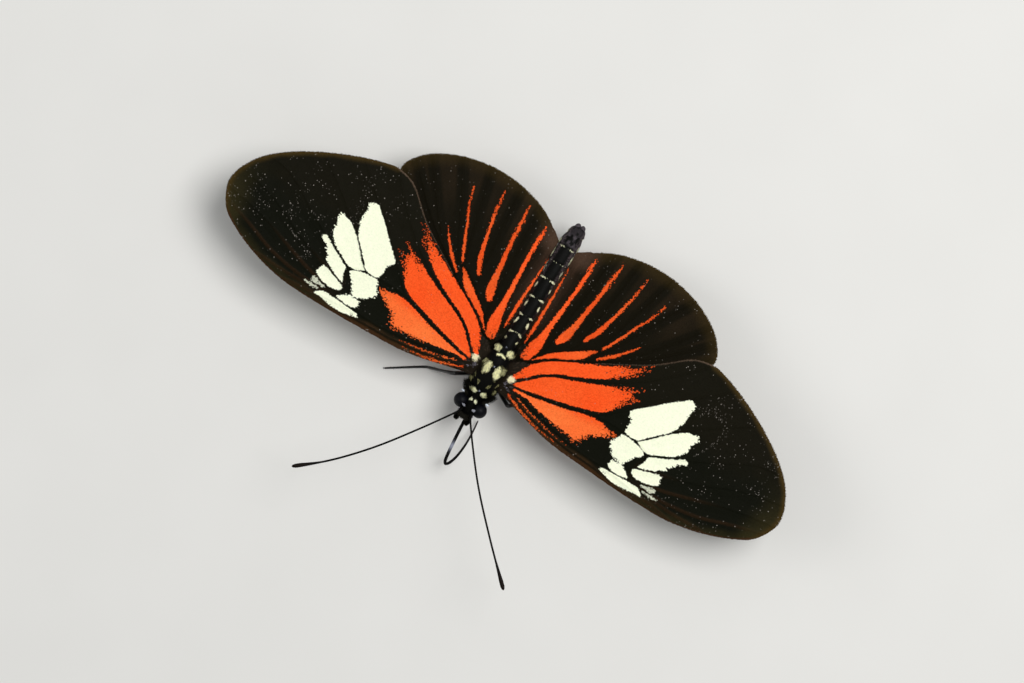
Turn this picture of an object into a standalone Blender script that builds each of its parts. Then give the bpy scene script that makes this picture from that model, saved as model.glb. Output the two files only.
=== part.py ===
"""A longwing butterfly at rest with its wings spread flat, standing on four legs.

Points are given in millimetres as left, ahead and up: left and ahead from the midpoint between
the two forewing roots, up from the floor. metres() turns them into world coordinates, with the
head towards -Y, the butterfly's left towards +X and up along +Z.
"""

import math

import bmesh
import bpy
import numpy as np
from mathutils.geometry import delaunay_2d_cdt

# Sizes shared by several pieces
GAP = 0.3
LEAST_RADIUS = 0.25
ROOT_SLANT = 0.16

# Wings: membrane, veins and the curved surface that both pairs follow
MEMBRANE = 0.5
VEIN_RISE = 0.15
VEIN_HALF_WIDTH = 0.27
VEIN_STEP = 2.1
EDGE_STEP = 1.7
WING_UP = 6.4
WING_ROOT = 2.3
WING_SLOPE = 0.075
WING_ARCH = 0.0007
CHORD_MIDDLE = -5.0
CHORD_ARCH = 0.006
FOREWING_ABOVE = 0.57
HINDWING_BELOW = 0.58
FOLD_FROM = 4.2

# The body, as stations of ahead, centre left, half width, centre up and half height
HEAD = [
    (3.40, 0.0, 0.50, 6.00, 0.62),
    (3.75, 0.0, 0.70, 6.02, 1.00),
    (4.40, 0.0, 0.74, 6.05, 1.20),
    (5.10, 0.0, 0.76, 6.05, 1.20),
    (5.60, 0.0, 0.82, 5.98, 1.08),
    (5.95, 0.0, 0.68, 5.90, 0.82),
    (6.12, 0.0, 0.36, 5.86, 0.44),
]
THORAX = [
    (3.10, 0.0, 0.85, 5.95, 0.90),
    (2.90, 0.0, 1.40, 5.92, 1.35),
    (2.40, 0.0, 1.82, 5.86, 1.70),
    (1.50, 0.0, 2.00, 5.78, 1.98),
    (0.20, 0.0, 2.08, 5.72, 2.12),
    (-1.20, 0.0, 2.02, 5.70, 2.10),
    (-2.50, 0.0, 1.72, 5.68, 1.84),
    (-3.30, 0.0, 1.28, 5.58, 1.46),
    (-3.75, 0.0, 0.72, 5.50, 0.92),
]
ABDOMEN = [
    (-4.05, 0.0, 0.66, 5.48, 0.76),
    (-4.45, 0.0, 0.98, 5.46, 1.06),
    (-6.00, 0.0, 1.07, 5.40, 1.20),
    (-12.0, 0.0, 1.15, 5.20, 1.27),
    (-16.0, -0.04, 1.33, 4.96, 1.36),
    (-18.4, -0.12, 1.35, 4.78, 1.30),
    (-19.9, -0.17, 1.10, 4.70, 1.06),
    (-20.8, -0.20, 0.66, 4.66, 0.70),
    (-21.1, -0.20, 0.30, 4.65, 0.34),
]
ABDOMEN_SEGMENTS = 8
SEGMENT_DIP = 0.07

# The eyes are domes that stand on the sides of the head
EYE_AHEAD = 4.58
EYE_UP = 6.08
EYE_RADIUS = 0.92
EYE_HALF_HEIGHT = 1.06
EYE_CENTRE_LEFT = 1.28
EYE_FLAT_LEFT = 0.79 + GAP

# Wing edges from the front of the root round the tip to the back of the root
FOREWING_EDGE = [
    (5.0, 2.2),
    (10.0, 3.35),
    (16.0, 3.78),
    (22.5, 4.0),
    (27.5, 3.82),
    (31.5, 2.95),
    (35.0, 1.6),
    (37.5, 0.0),
    (38.9, -3.1),
    (37.7, -6.6),
    (35.0, -9.4),
    (30.0, -12.45),
    (25.0, -14.5),
    (22.5, -15.1),
    (20.0, -14.5),
    (16.0, -11.3),
    (10.0, -7.7),
    (5.0, -4.9),
    (3.2, -3.4),
]
FOREWING_ROOT = (1.25, -2.1)
HINDWING_EDGE = [
    (4.5, -2.8),
    (8.0, -3.9),
    (13.0, -6.4),
    (18.0, -10.0),
    (21.6, -13.6),
    (22.3, -15.6),
    (21.0, -17.9),
    (18.0, -19.95),
    (14.0, -21.2),
    (10.0, -21.4),
    (6.0, -20.6),
    (3.6, -19.5),
]
HINDWING_ROOT = (-2.45, -3.5)
HINDWING_HEEL = -17.9

# Main veins, each from its root or fork to just short of the wing's edge
FOREWING_VEINS = {
    "subcosta": [(3.2, 1.0), (7.0, 2.05), (12.0, 2.85), (17.0, 3.15), (20.4, 3.45)],
    "radius": [(3.2, 0.4), (7.0, 1.15), (11.0, 1.95), (15.0, 2.4), (20.0, 2.1), (21.2, 2.1)],
    "radius_1": [(17.5, 2.4), (23.0, 3.0), (27.0, 3.25)],
    "radius_2": [(21.2, 2.1), (26.0, 2.7), (31.0, 2.4)],
    "radius_5": [(21.2, 2.1), (25.0, 2.15), (30.0, 1.45), (34.0, 0.1), (37.2, -0.8)],
    "cell_end": [(20.6, 2.1), (20.5, 1.1), (20.7, 0.1), (21.1, -0.9), (21.0, -1.75), (19.3, -2.35)],
    "media_1": [(20.5, 1.5), (24.3, 1.15), (28.0, 0.1), (33.0, -1.5), (38.0, -2.3)],
    "media_2": [(20.7, 0.3), (24.0, -0.6), (28.0, -1.9), (33.0, -4.0), (37.8, -5.0)],
    "media_3": [(21.1, -1.6), (25.3, -3.55), (29.0, -5.5), (33.0, -7.6), (35.9, -8.0)],
    "cubitus": [(4.3, -0.2), (8.0, -0.98), (12.0, -2.05), (14.5, -2.5), (19.3, -2.35)],
    "cubitus_1": [(19.3, -2.35), (21.9, -5.05), (26.0, -8.5), (30.6, -11.6)],
    "cubitus_2": [(13.5, -2.4), (16.4, -5.15), (20.0, -8.5), (23.6, -11.4), (26.0, -13.6)],
    "anal": [(3.3, -0.9), (6.0, -3.45), (9.0, -4.8), (14.0, -7.4), (18.0, -10.5), (22.3, -14.5)],
}
HINDWING_VEINS = {
    "subcosta": [(3.2, -3.0), (8.0, -5.0), (14.0, -8.7), (18.0, -11.6), (21.5, -14.6)],
    "radial": [(3.4, -3.7), (6.5, -5.7), (9.7, -7.7), (16.0, -12.2), (21.0, -16.9)],
    "cubitus": [(3.1, -4.3), (4.6, -5.8), (8.0, -8.5), (9.6, -9.4)],
    "cell_end": [(9.7, -7.9), (10.0, -8.8), (9.6, -9.4)],
    "media_1": [(9.9, -8.1), (12.0, -9.4), (14.5, -11.8), (17.5, -15.5), (19.6, -18.3)],
    "media_2": [(10.0, -8.9), (11.4, -11.0), (13.0, -14.0), (14.8, -17.3), (16.4, -19.9)],
    "media_3": [(9.6, -9.4), (10.6, -12.8), (11.8, -17.0), (12.8, -20.7)],
    "cubitus_1": [(7.2, -7.9), (7.5, -11.0), (8.1, -16.0), (8.5, -20.6)],
    "cubitus_2": [(4.2, -5.4), (4.5, -8.0), (4.9, -13.0), (5.3, -19.7)],
    "anal": [(2.5, -5.0), (2.7, -8.0), (2.8, -13.0), (2.7, -17.6)],
}

# Feelers and mouthparts, as points on their centre lines
ANTENNA_LEFT = [(0.46, 5.5, 7.42), (0.95, 6.1, 7.7), (5.67, 11.9, 8.9), (10.4, 16.7, 9.6), (15.1, 21.1, 9.9)]
ANTENNA_RIGHT = [(-0.46, 5.5, 7.42), (-0.95, 6.1, 7.7), (-4.2, 10.4, 8.7), (-7.4, 15.1, 9.5), (-14.2, 22.0, 9.9)]
PALP = [(0.67, 5.3, 4.56), (0.77, 6.2, 4.7), (0.78, 6.56, 5.4), (0.72, 6.7, 6.15)]
PROBOSCIS_OUT = [(0.0, 5.0, 4.28), (0.05, 6.0, 4.1), (0.33, 7.67, 4.25), (0.6, 10.0, 4.1), (0.92, 11.8, 3.55)]
PROBOSCIS_BACK = [(1.2, 12.05, 3.05), (1.75, 10.9, 2.55), (1.95, 9.0, 1.75), (1.83, 7.1, 0.95), (1.65, 5.8, 0.6)]

# Legs, each as the centre lines of its lengths. The tarsi lie on the floor
FORELEG = [(0.75, 2.45, 3.85), (0.9, 3.3, 3.55), (1.0, 4.3, 3.7), (0.95, 5.1, 4.1)]
MIDLEG_LEFT = [
    [(0.95, 0.55, 3.38), (1.35, 0.85, 2.95), (2.3, 1.5, 3.6), (3.75, 2.3, 5.1)],
    [(4.22, 2.02, 4.78), (5.35, 1.25, 2.8), (6.6, 0.6, 0.72)],
    [(6.8, 0.5, 0.0), (8.4, 0.2, 0.0), (11.2, 0.5, 0.0)],
]
MIDLEG_RIGHT = [
    [(-0.95, 0.55, 3.38), (-1.35, 0.85, 2.95), (-2.3, 1.5, 3.6), (-3.65, 2.35, 5.1)],
    [(-4.12, 2.55, 4.78), (-5.4, 3.02, 2.8), (-6.8, 3.5, 0.72)],
    [(-7.0, 3.57, 0.0), (-9.2, 5.0, 0.0), (-11.4, 6.5, 0.0)],
]
HINDLEG_LEFT = [
    [(0.85, -2.0, 3.52), (1.25, -2.35, 3.0), (2.2, -3.2, 3.5), (3.6, -4.5, 4.3)],
    [(3.88, -4.88, 4.16), (4.8, -6.7, 2.5), (5.5, -8.3, 0.72)],
    [(5.55, -8.48, 0.0), (6.0, -10.2, 0.0), (6.9, -12.7, 0.0)],
]
LEG_RADII = [
    [(0.0, 0.38), (0.3, 0.36), (0.6, 0.33), (1.0, 0.27)],
    [(0.0, 0.27), (1.0, 0.25)],
    [(0.0, 0.26), (0.8, 0.24), (1.0, 0.17)],
]
LEG_PARTS = ["femur", "tibia", "tarsus"]

# Colours, with roughness
BLACK = ((0.012, 0.011, 0.010), 0.7)
WING_BLACK = ((0.010, 0.009, 0.008), 0.6)
WING_BROWN = ((0.022, 0.015, 0.011), 0.6)
EYE_BLACK = ((0.006, 0.005, 0.005), 0.25)
HORN_BLACK = ((0.014, 0.012, 0.010), 0.35)


def metres(points):
    """Left, ahead and up in millimetres as world coordinates in metres."""
    points = np.asarray(points, float)
    return points * (0.001, -0.001, 0.001)


def smooth_line(points, fine=14):
    """A curve through the points, of any number of coordinates, in short steps."""
    knots = [np.asarray(point, float) for point in points]
    knots = [2 * knots[0] - knots[1]] + knots + [2 * knots[-1] - knots[-2]]
    line = []
    for p0, p1, p2, p3 in zip(knots, knots[1:], knots[2:], knots[3:]):
        t1 = np.linalg.norm(p1 - p0) ** 0.5
        t2 = t1 + np.linalg.norm(p2 - p1) ** 0.5
        t3 = t2 + np.linalg.norm(p3 - p2) ** 0.5
        for k in range(fine):
            t = t1 + (t2 - t1) * k / fine
            a1 = (p0 * (t1 - t) + p1 * t) / t1
            a2 = (p1 * (t2 - t) + p2 * (t - t1)) / (t2 - t1)
            a3 = (p2 * (t3 - t) + p3 * (t - t2)) / (t3 - t2)
            b1 = (a1 * (t2 - t) + a2 * t) / t2
            b2 = (a2 * (t3 - t) + a3 * (t - t1)) / (t3 - t1)
            line.append((b1 * (t2 - t) + b2 * (t - t1)) / (t2 - t1))
    line.append(knots[-2])
    return np.array(line)


def at_shares(line, shares):
    """Points of the line at these shares of its length."""
    steps = np.linalg.norm(np.diff(line, axis=0), axis=1)
    run = np.concatenate([[0.0], np.cumsum(steps)])
    return np.stack([np.interp(np.asarray(shares) * run[-1], run, axis) for axis in line.T], axis=1)


def length_of(line):
    return float(np.linalg.norm(np.diff(line, axis=0), axis=1).sum())


def even_points(points, step):
    """Points about a step apart on the smooth curve through the given ones, both ends included."""
    line = smooth_line(points)
    count = max(2, round(length_of(line) / step) + 1)
    return at_shares(line, np.linspace(0.0, 1.0, count))


def station_at(stations, ahead):
    """Centre left, half width, centre up and half height of a body at one place along it."""
    line = smooth_line(stations)
    line = line[np.argsort(line[:, 0])]
    return [float(np.interp(ahead, line[:, 0], line[:, k])) for k in range(1, 5)]


def reach(stations, ahead, up, side):
    """How far a body reaches to one side at this place and height."""
    centre, half_width, middle, half_height = station_at(stations, ahead)
    lift = min(1.0, abs(up - middle) / half_height)
    return side * centre + half_width * math.sqrt(1.0 - lift * lift)


def new_object(name, points, faces, colour):
    """One closed mesh object with its origin at the mean of its points."""
    world = metres(points)
    origin = world.mean(axis=0)
    mesh = bpy.data.meshes.new(name)
    mesh.from_pydata([tuple(p) for p in world - origin], [], faces)
    shape = bmesh.new()
    shape.from_mesh(mesh)
    bmesh.ops.recalc_face_normals(shape, faces=shape.faces)
    shape.to_mesh(mesh)
    shape.free()
    mesh.shade_smooth()
    mesh.set_sharp_from_angle(angle=math.radians(40))
    surface = bpy.data.materials.new(name)
    surface.use_nodes = True
    shader = surface.node_tree.nodes["Principled BSDF"]
    shader.inputs["Base Color"].default_value = (*colour[0], 1.0)
    shader.inputs["Roughness"].default_value = colour[1]
    shader.inputs["Metallic"].default_value = 0.0
    mesh.materials.append(surface)
    made = bpy.data.objects.new(name, mesh)
    made.location = origin
    bpy.context.scene.collection.objects.link(made)
    made.parent = butterfly
    return made


def skin_of_rings(rings):
    """Points and faces of a closed body through rings of equal size."""
    sides = len(rings[0])
    points = np.concatenate(rings)
    faces = [list(range(sides))]
    for ring in range(len(rings) - 1):
        first = ring * sides
        for k in range(sides):
            turn = (k + 1) % sides
            faces.append([first + k, first + turn, first + sides + turn, first + sides + k])
    faces.append(list(range(len(points) - sides, len(points))))
    return points, faces


def loft(name, stations, places, sides, colour, dip=None):
    """A body of oval rings, one at each place along it."""
    turns = 2 * math.pi * (np.arange(sides) + 0.5) / sides
    rings = []
    for ahead in places:
        centre, half_width, middle, half_height = station_at(stations, ahead)
        shrink = 1.0 - (dip(ahead) if dip else 0.0)
        ring = np.empty((sides, 3))
        ring[:, 0] = centre + half_width * shrink * np.cos(turns)
        ring[:, 1] = ahead
        ring[:, 2] = middle + half_height * shrink * np.sin(turns)
        rings.append(ring)
    return new_object(name, *skin_of_rings(rings), colour)


def bar(name, line, radii, sides, step, colour, on_floor=False):
    """A round bar with blunt round ends along a smooth curve. One on the floor rests a flat side on it."""
    shares = [share for share, _ in radii]
    sizes = [size for _, size in radii]
    if on_floor:
        lift = [np.interp(k / (len(line) - 1), shares, sizes) for k in range(len(line))]
        flat = math.cos(math.pi / sides)
        line = [(p[0], p[1], size * flat) for p, size in zip(line, lift)]
    curve = smooth_line(line)
    length = length_of(curve)
    count = max(2, round(length / step))
    inner = list(np.linspace(0.0, 1.0, count + 1))
    start = 0.45 * sizes[0] / length
    end = 1.0 - 0.45 * sizes[-1] / length
    inner[0] = start
    inner[-1] = end
    stops = [0.0] + inner + [1.0]
    centres = at_shares(curve, stops)
    ways = at_shares(curve, np.clip(np.array(stops) + 0.004, 0, 1))
    ways = ways - at_shares(curve, np.clip(np.array(stops) - 0.004, 0, 1))
    turns = 2 * math.pi * (np.arange(sides) + 0.5) / sides - math.pi / 2
    rings = []
    for k, (centre, way) in enumerate(zip(centres, ways)):
        size = float(np.interp(stops[k], shares, sizes))
        if on_floor:
            way[2] = 0.0
            centre[2] = size * math.cos(math.pi / sides)
        if k in (0, len(stops) - 1):
            size *= 0.62
        way = way / np.linalg.norm(way)
        across = np.cross(way, (0.0, 0.0, 1.0))
        across /= np.linalg.norm(across)
        up = np.cross(across, way)
        ring = centre + size * (np.outer(np.cos(turns), across) + np.outer(np.sin(turns), up))
        if on_floor and 0 < k < len(stops) - 1:
            ring[np.abs(ring[:, 2]) < 1e-3, 2] = 0.0
        rings.append(ring)
    return new_object(name, *skin_of_rings(rings), colour)


def mirrored(points):
    return [(-p[0],) + tuple(p[1:]) for p in points]


def eye(name, side, colour):
    """A dome turned about the line through both eyes, flat towards the head."""
    sides = 14
    rings = []
    inset = (EYE_CENTRE_LEFT - EYE_FLAT_LEFT) / EYE_RADIUS
    for slope in np.linspace(-math.asin(inset), math.radians(80), 7):
        turns = 2 * math.pi * np.arange(sides) / sides
        ring = np.empty((sides, 3))
        ring[:, 0] = side * (EYE_CENTRE_LEFT + EYE_RADIUS * math.sin(slope))
        ring[:, 1] = EYE_AHEAD + EYE_RADIUS * math.cos(slope) * np.cos(turns)
        ring[:, 2] = EYE_UP + EYE_HALF_HEIGHT * math.cos(slope) * np.sin(turns)
        rings.append(ring)
    return new_object(name, *skin_of_rings(rings), colour)


def wing_lift(left, ahead):
    """Height of the surface that both pairs of wings follow."""
    out = left - WING_ROOT
    return WING_UP + WING_SLOPE * out - WING_ARCH * out * out - CHORD_ARCH * (ahead - CHORD_MIDDLE) ** 2


def forewing_lift(left, ahead, side):
    return wing_lift(left, ahead) + FOREWING_ABOVE


def hindwing_lift(left, ahead, side):
    """The hindwing bends down towards the middle of the abdomen's flank."""
    lift = wing_lift(left, ahead) - HINDWING_BELOW
    place = min(ahead, HINDWING_ROOT[1])
    middle = station_at(ABDOMEN, place)[2]
    bend = max(0.0, (FOLD_FROM - left) / (FOLD_FROM - 1.4)) ** 2
    return lift + (middle + 0.1 - lift) * min(1.0, bend)


def forewing_edge(side):
    """The root follows the thorax at the height of the membrane's lower face."""
    front, back = FOREWING_ROOT
    root = []
    for place in np.linspace(back, front, 5):
        under = forewing_lift(WING_ROOT, place, side) - MEMBRANE / 2
        root.append((reach(THORAX, place, under, side) + GAP + ROOT_SLANT, place))
    rim = even_points([root[-1]] + FOREWING_EDGE + [root[0]], EDGE_STEP)
    return np.concatenate([rim, np.array(root[1:-1])])


def hindwing_edge(side):
    """The inner edge follows the abdomen's flank, and the root follows the thorax."""
    front, back = HINDWING_ROOT
    under = WING_UP - HINDWING_BELOW
    first = (reach(THORAX, front, under, side) + GAP + 0.1, front)
    heel_middle = station_at(ABDOMEN, HINDWING_HEEL)[2]
    heel = (reach(ABDOMEN, HINDWING_HEEL, heel_middle, side) + GAP, HINDWING_HEEL)
    rim = even_points([first] + HINDWING_EDGE + [heel], EDGE_STEP)
    inner = []
    for place in np.arange(HINDWING_HEEL + EDGE_STEP, back - EDGE_STEP, EDGE_STEP):
        centre, half_width = station_at(ABDOMEN, place)[:2]
        inner.append((side * centre + half_width + GAP + 0.03, place))
    inner.append((reach(THORAX, back, under, side) + GAP + 0.12, back))
    return np.concatenate([rim, np.array(inner)])


def beside(line, reach_out):
    """The line moved sideways."""
    way = np.gradient(line, axis=0)
    way /= np.linalg.norm(way, axis=1)[:, None]
    return line + reach_out * np.stack([-way[:, 1], way[:, 0]], axis=1)


def distance_to(line, places):
    """Distance of each place from a line of straight pieces."""
    starts, ends = line[:-1], line[1:]
    ways = ends - starts
    share = ((places[:, None] - starts) * ways).sum(-1) / (ways * ways).sum(-1)
    nearest = starts + np.clip(share, 0, 1)[..., None] * ways
    return np.linalg.norm(places[:, None] - nearest, axis=-1).min(axis=1)


def inside(edge, places):
    """Which places lie within the closed edge."""
    x, y = places[:, 0], places[:, 1]
    found = np.zeros(len(places), bool)
    for (x1, y1), (x2, y2) in zip(edge, np.roll(edge, -1, axis=0)):
        crosses = (y1 > y) != (y2 > y)
        with np.errstate(divide="ignore", invalid="ignore"):
            found ^= crosses & (x < (x2 - x1) * (y - y1) / (y2 - y1) + x1)
    return found


def wing(name, side, edge, veins, lift, colour):
    """A curved membrane, split alike above and below, with its veins raised on both faces."""
    places = [tuple(p) for p in edge]
    count = len(places)
    ties = [(k, (k + 1) % count) for k in range(count)]
    centres = []
    closed = np.vstack([edge, edge[:1]])
    for points in veins.values():
        centre = even_points(points, VEIN_STEP)
        centres.append(centre)
        for offset in (0.0, VEIN_HALF_WIDTH, -VEIN_HALF_WIDTH):
            line = beside(centre, offset) if offset else centre
            keep = inside(edge, line) & (distance_to(closed, line) > 0.3)
            last = None
            for point, kept in zip(line, keep):
                if not kept:
                    last = None
                    continue
                places.append(tuple(point))
                if last is not None:
                    ties.append((last, len(places) - 1))
                last = len(places) - 1
    flat, _, triangles, _, _, _ = delaunay_2d_cdt(places, ties, [list(range(count))], 1, 0.12, True)
    flat = np.array([tuple(p) for p in flat])
    near = np.min([distance_to(line, flat) for line in centres], axis=0)
    swell = VEIN_RISE * np.clip(1.0 - near / VEIN_HALF_WIDTH, 0.0, 1.0)
    middle = np.array([lift(p[0], p[1], side) for p in flat])
    upper = np.column_stack([side * flat[:, 0], flat[:, 1], middle + MEMBRANE / 2 + swell])
    lower = np.column_stack([side * flat[:, 0], flat[:, 1], middle - MEMBRANE / 2 - swell])
    total = len(flat)
    faces = [list(t) for t in triangles]
    used = {}
    for a, b, c in triangles:
        for pair in ((a, b), (b, c), (c, a)):
            used[pair] = True
    rim = [pair for pair in used if (pair[1], pair[0]) not in used]
    faces += [[c + total, b + total, a + total] for a, b, c in triangles]
    for a, b in rim:
        faces.append([b, a, a + total])
        faces.append([b, a + total, b + total])
    return new_object(name, np.vstack([upper, lower]), faces, colour)


for old in list(bpy.data.objects):
    bpy.data.objects.remove(old)

butterfly = bpy.data.objects.new("butterfly", None)
bpy.context.scene.collection.objects.link(butterfly)


def along_body(stations, count):
    """Places along a body, closer together towards its ends."""
    first, last = stations[0][0], stations[-1][0]
    turn = np.linspace(0, math.pi, count)
    even = np.linspace(0, 1, count)
    share = 0.55 * (1 - np.cos(turn)) / 2 + 0.45 * even
    return first + (last - first) * share


def segment_dip(ahead):
    """The abdomen narrows a little between its segments."""
    first, last = ABDOMEN[1][0], ABDOMEN[-2][0]
    share = (ahead - first) / (last - first) * ABDOMEN_SEGMENTS
    if share <= 0 or share >= ABDOMEN_SEGMENTS:
        return 0.0
    return SEGMENT_DIP * abs(math.cos(math.pi * share)) ** 6


loft("head", HEAD, along_body(HEAD, 10), 16, BLACK)
loft("thorax", THORAX, along_body(THORAX, 15), 20, BLACK)
first_ring, last_ring = ABDOMEN[1][0], ABDOMEN[-2][0]
segment_rings = list(np.linspace(first_ring, last_ring, 4 * ABDOMEN_SEGMENTS + 1))
loft("abdomen", ABDOMEN, [ABDOMEN[0][0]] + segment_rings + [ABDOMEN[-1][0]], 16, BLACK, segment_dip)

for suffix, side in (("l", 1), ("r", -1)):
    eye("eye_" + suffix, side, EYE_BLACK)
    palp = PALP if side > 0 else mirrored(PALP)
    bar("palp_" + suffix, palp, [(0, 0.25), (0.7, 0.27), (1, 0.15)], 8, 0.45, BLACK)
    foreleg = FORELEG if side > 0 else mirrored(FORELEG)
    bar("foreleg_" + suffix, foreleg, [(0, 0.27), (0.6, 0.26), (1, 0.15)], 8, 0.7, BLACK)
    antenna = ANTENNA_LEFT if side > 0 else ANTENNA_RIGHT
    club = [(0.0, LEAST_RADIUS), (0.84, LEAST_RADIUS), (0.93, 0.3), (0.975, 0.28), (1.0, 0.13)]
    bar("antenna_" + suffix, antenna, club, 8, 1.1, HORN_BLACK)
    midleg = MIDLEG_LEFT if side > 0 else MIDLEG_RIGHT
    hindleg = HINDLEG_LEFT if side > 0 else [mirrored(part) for part in HINDLEG_LEFT]
    for leg, lengths in (("midleg", midleg), ("hindleg", hindleg)):
        for part, points, radii in zip(LEG_PARTS, lengths, LEG_RADII):
            name = "_".join([leg, part, suffix])
            bar(name, points, radii, 8, 0.8, HORN_BLACK, on_floor=part == "tarsus")
    wing("forewing_" + suffix, side, forewing_edge(side), FOREWING_VEINS, forewing_lift, WING_BLACK)
    wing("hindwing_" + suffix, side, hindwing_edge(side), HINDWING_VEINS, hindwing_lift, WING_BROWN)

bar("proboscis_out", PROBOSCIS_OUT, [(0, 0.27), (1, 0.25)], 8, 0.7, HORN_BLACK)
bar("proboscis_back", PROBOSCIS_BACK, [(0, 0.25), (0.85, 0.23), (1, 0.14)], 8, 0.7, HORN_BLACK)

# The floor point under the middle of the whole butterfly becomes the origin
bpy.context.view_layer.update()
corners = [o.matrix_world @ v.co for o in bpy.data.objects if o.type == "MESH" for v in o.data.vertices]
spread = np.array([tuple(c) for c in corners])
middle = (spread.min(axis=0) + spread.max(axis=0)) / 2
butterfly.location = (-middle[0], -middle[1], 0.0)
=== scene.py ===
"""The looks of a longwing butterfly that stands with its wings spread flat.

Points are in millimetres as left, ahead and up, as in the solids: left and ahead from the
midpoint between the two forewing roots, up from the floor. world() turns them into metres.
"""

import math

import bmesh
import bpy
import numpy as np
from mathutils.geometry import delaunay_2d_cdt
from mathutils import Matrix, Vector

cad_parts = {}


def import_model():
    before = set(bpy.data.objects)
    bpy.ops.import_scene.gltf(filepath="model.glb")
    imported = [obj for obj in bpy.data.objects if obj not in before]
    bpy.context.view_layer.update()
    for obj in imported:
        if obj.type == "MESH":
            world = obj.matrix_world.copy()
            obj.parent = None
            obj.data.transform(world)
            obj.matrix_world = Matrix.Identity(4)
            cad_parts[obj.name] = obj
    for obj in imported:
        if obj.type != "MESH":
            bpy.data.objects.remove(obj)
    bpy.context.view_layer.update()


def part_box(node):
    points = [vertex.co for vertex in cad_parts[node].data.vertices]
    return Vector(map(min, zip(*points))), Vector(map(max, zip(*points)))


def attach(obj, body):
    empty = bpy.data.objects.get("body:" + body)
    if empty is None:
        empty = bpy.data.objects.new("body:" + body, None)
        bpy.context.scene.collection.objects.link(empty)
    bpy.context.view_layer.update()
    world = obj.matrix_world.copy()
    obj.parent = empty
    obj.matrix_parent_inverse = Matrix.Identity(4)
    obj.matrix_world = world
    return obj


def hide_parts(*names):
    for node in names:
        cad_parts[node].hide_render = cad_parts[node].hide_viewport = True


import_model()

# The frame's midpoint lies a little off the point that ahead is counted from
TAIL_END = -21.1
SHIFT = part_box("abdomen")[1][1] * 1000 + TAIL_END

# The surface that both pairs of wings follow, as in the solids
WING_UP = 6.4
WING_ROOT = 2.3
WING_SLOPE = 0.075
WING_ARCH = 0.0007
CHORD_MIDDLE = -5.0
CHORD_ARCH = 0.006
FOREWING_ABOVE = 0.47
HINDWING_BELOW = 0.48
FOLD_FROM = 4.2
FOLD_TO = 1.4

# Wing skin: membrane, veins, and the furrows between them
SKIN_HALF = 0.12
EDGE_HALF = 0.045
EDGE_TAPER = 0.9
EDGE_INSET = 0.1
VEIN_RISE = 0.07
VEIN_WIDTH = 0.15
FURROW = 0.1
FURROW_WIDTH = 1.1
SKIN_STEP = 0.33
MAP_STEP = 0.1
FREE_FROM = 2.6
VEIN_RIM = 0.12
GRID_RIM = 0.2
WELD = 0.02

# Scales: spacing, length and width on the upper and the lower face
SCALES_ABOVE = (0.118, 0.235, 0.145)
SCALES_BELOW = (0.165, 0.3, 0.2)
SCALE_FOOT = 0.006
SCALE_TIP = 0.03
SCALE_REACH = 0.6
SCALE_RIM = 0.04
SCALE_TURN = 0.14
SCALE_TILT = 0.012
SLOPE_STEP = 0.1
PATCH_HALF = 0.0015
HAIR_WIDTH = 0.045
TUFT_WIDTH = 0.055
FRINGE_STEP = 0.02
FRINGE_SUNK = 0.14

# Where the fur is fluffiest, and the steps and ring lengths of feelers and tongue
FLUFF_AT = -3.1
FLUFF_WIDTH = 0.6
FEELER_STEP = 0.07
FEELER_RING = 0.28
TONGUE_STEP = 0.045
TONGUE_RING = 0.18

# How deep the wings' roots and inner edges are sunk in the body, and grooves between its segments
ROOT_SUNK = 0.2
HEEL_SUNK = 0.04
GROOVE = 0.075
BODY_SIDES = 64
BODY_STEP = 0.11
FEELER_SIDES = 12
TONGUE_SIDES = 14
SIDES = (("l", 1), ("r", -1))
UPWARDS = (0.0, 0.0, 1.0)

# The body skin, as stations of ahead, centre left, half width, centre up and half height
BODY = [
    (6.12, 0.0, 0.20, 5.88, 0.24),
    (6.02, 0.0, 0.45, 5.89, 0.55),
    (5.60, 0.0, 0.72, 5.98, 0.95),
    (5.10, 0.0, 0.70, 6.03, 1.07),
    (4.40, 0.0, 0.68, 6.03, 1.08),
    (3.75, 0.0, 0.72, 6.00, 0.98),
    (3.30, 0.0, 1.00, 5.95, 1.05),
    (2.90, 0.0, 1.30, 5.92, 1.25),
    (2.40, 0.0, 1.60, 5.86, 1.50),
    (1.50, 0.0, 1.78, 5.78, 1.76),
    (0.20, 0.0, 1.86, 5.72, 1.90),
    (-1.20, 0.0, 1.80, 5.70, 1.88),
    (-2.50, 0.0, 1.50, 5.66, 1.60),
    (-3.30, 0.0, 1.12, 5.56, 1.30),
    (-3.90, 0.0, 0.93, 5.50, 1.05),
    (-4.45, 0.0, 0.90, 5.46, 1.00),
    (-6.00, 0.0, 0.97, 5.40, 1.10),
    (-9.5, -0.02, 1.02, 5.30, 1.14),
    (-12.0, -0.10, 1.06, 5.20, 1.17),
    (-14.0, -0.16, 1.14, 5.08, 1.22),
    (-16.0, -0.18, 1.25, 4.96, 1.25),
    (-18.4, -0.18, 1.28, 4.78, 1.20),
    (-19.9, -0.15, 1.04, 4.70, 0.96),
    (-20.4, -0.13, 0.84, 4.66, 0.72),
    (-20.7, -0.12, 0.44, 4.65, 0.36),
]
SEGMENT_ENDS = [-5.7, -8.1, -10.65, -13.3, -15.6, -17.75, -19.6]

# The two lobes at the tail's tip
CLASPERS = [
    [(0.14, -19.3, 4.78), (0.2, -20.1, 4.76), (0.17, -21.08, 4.66)],
    [(-0.4, -19.3, 4.78), (-0.46, -20.1, 4.76), (-0.43, -21.08, 4.66)],
]
CLASPER_RADII = [(0, 0.52), (0.5, 0.46), (0.8, 0.36), (1, 0.27)]

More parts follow.
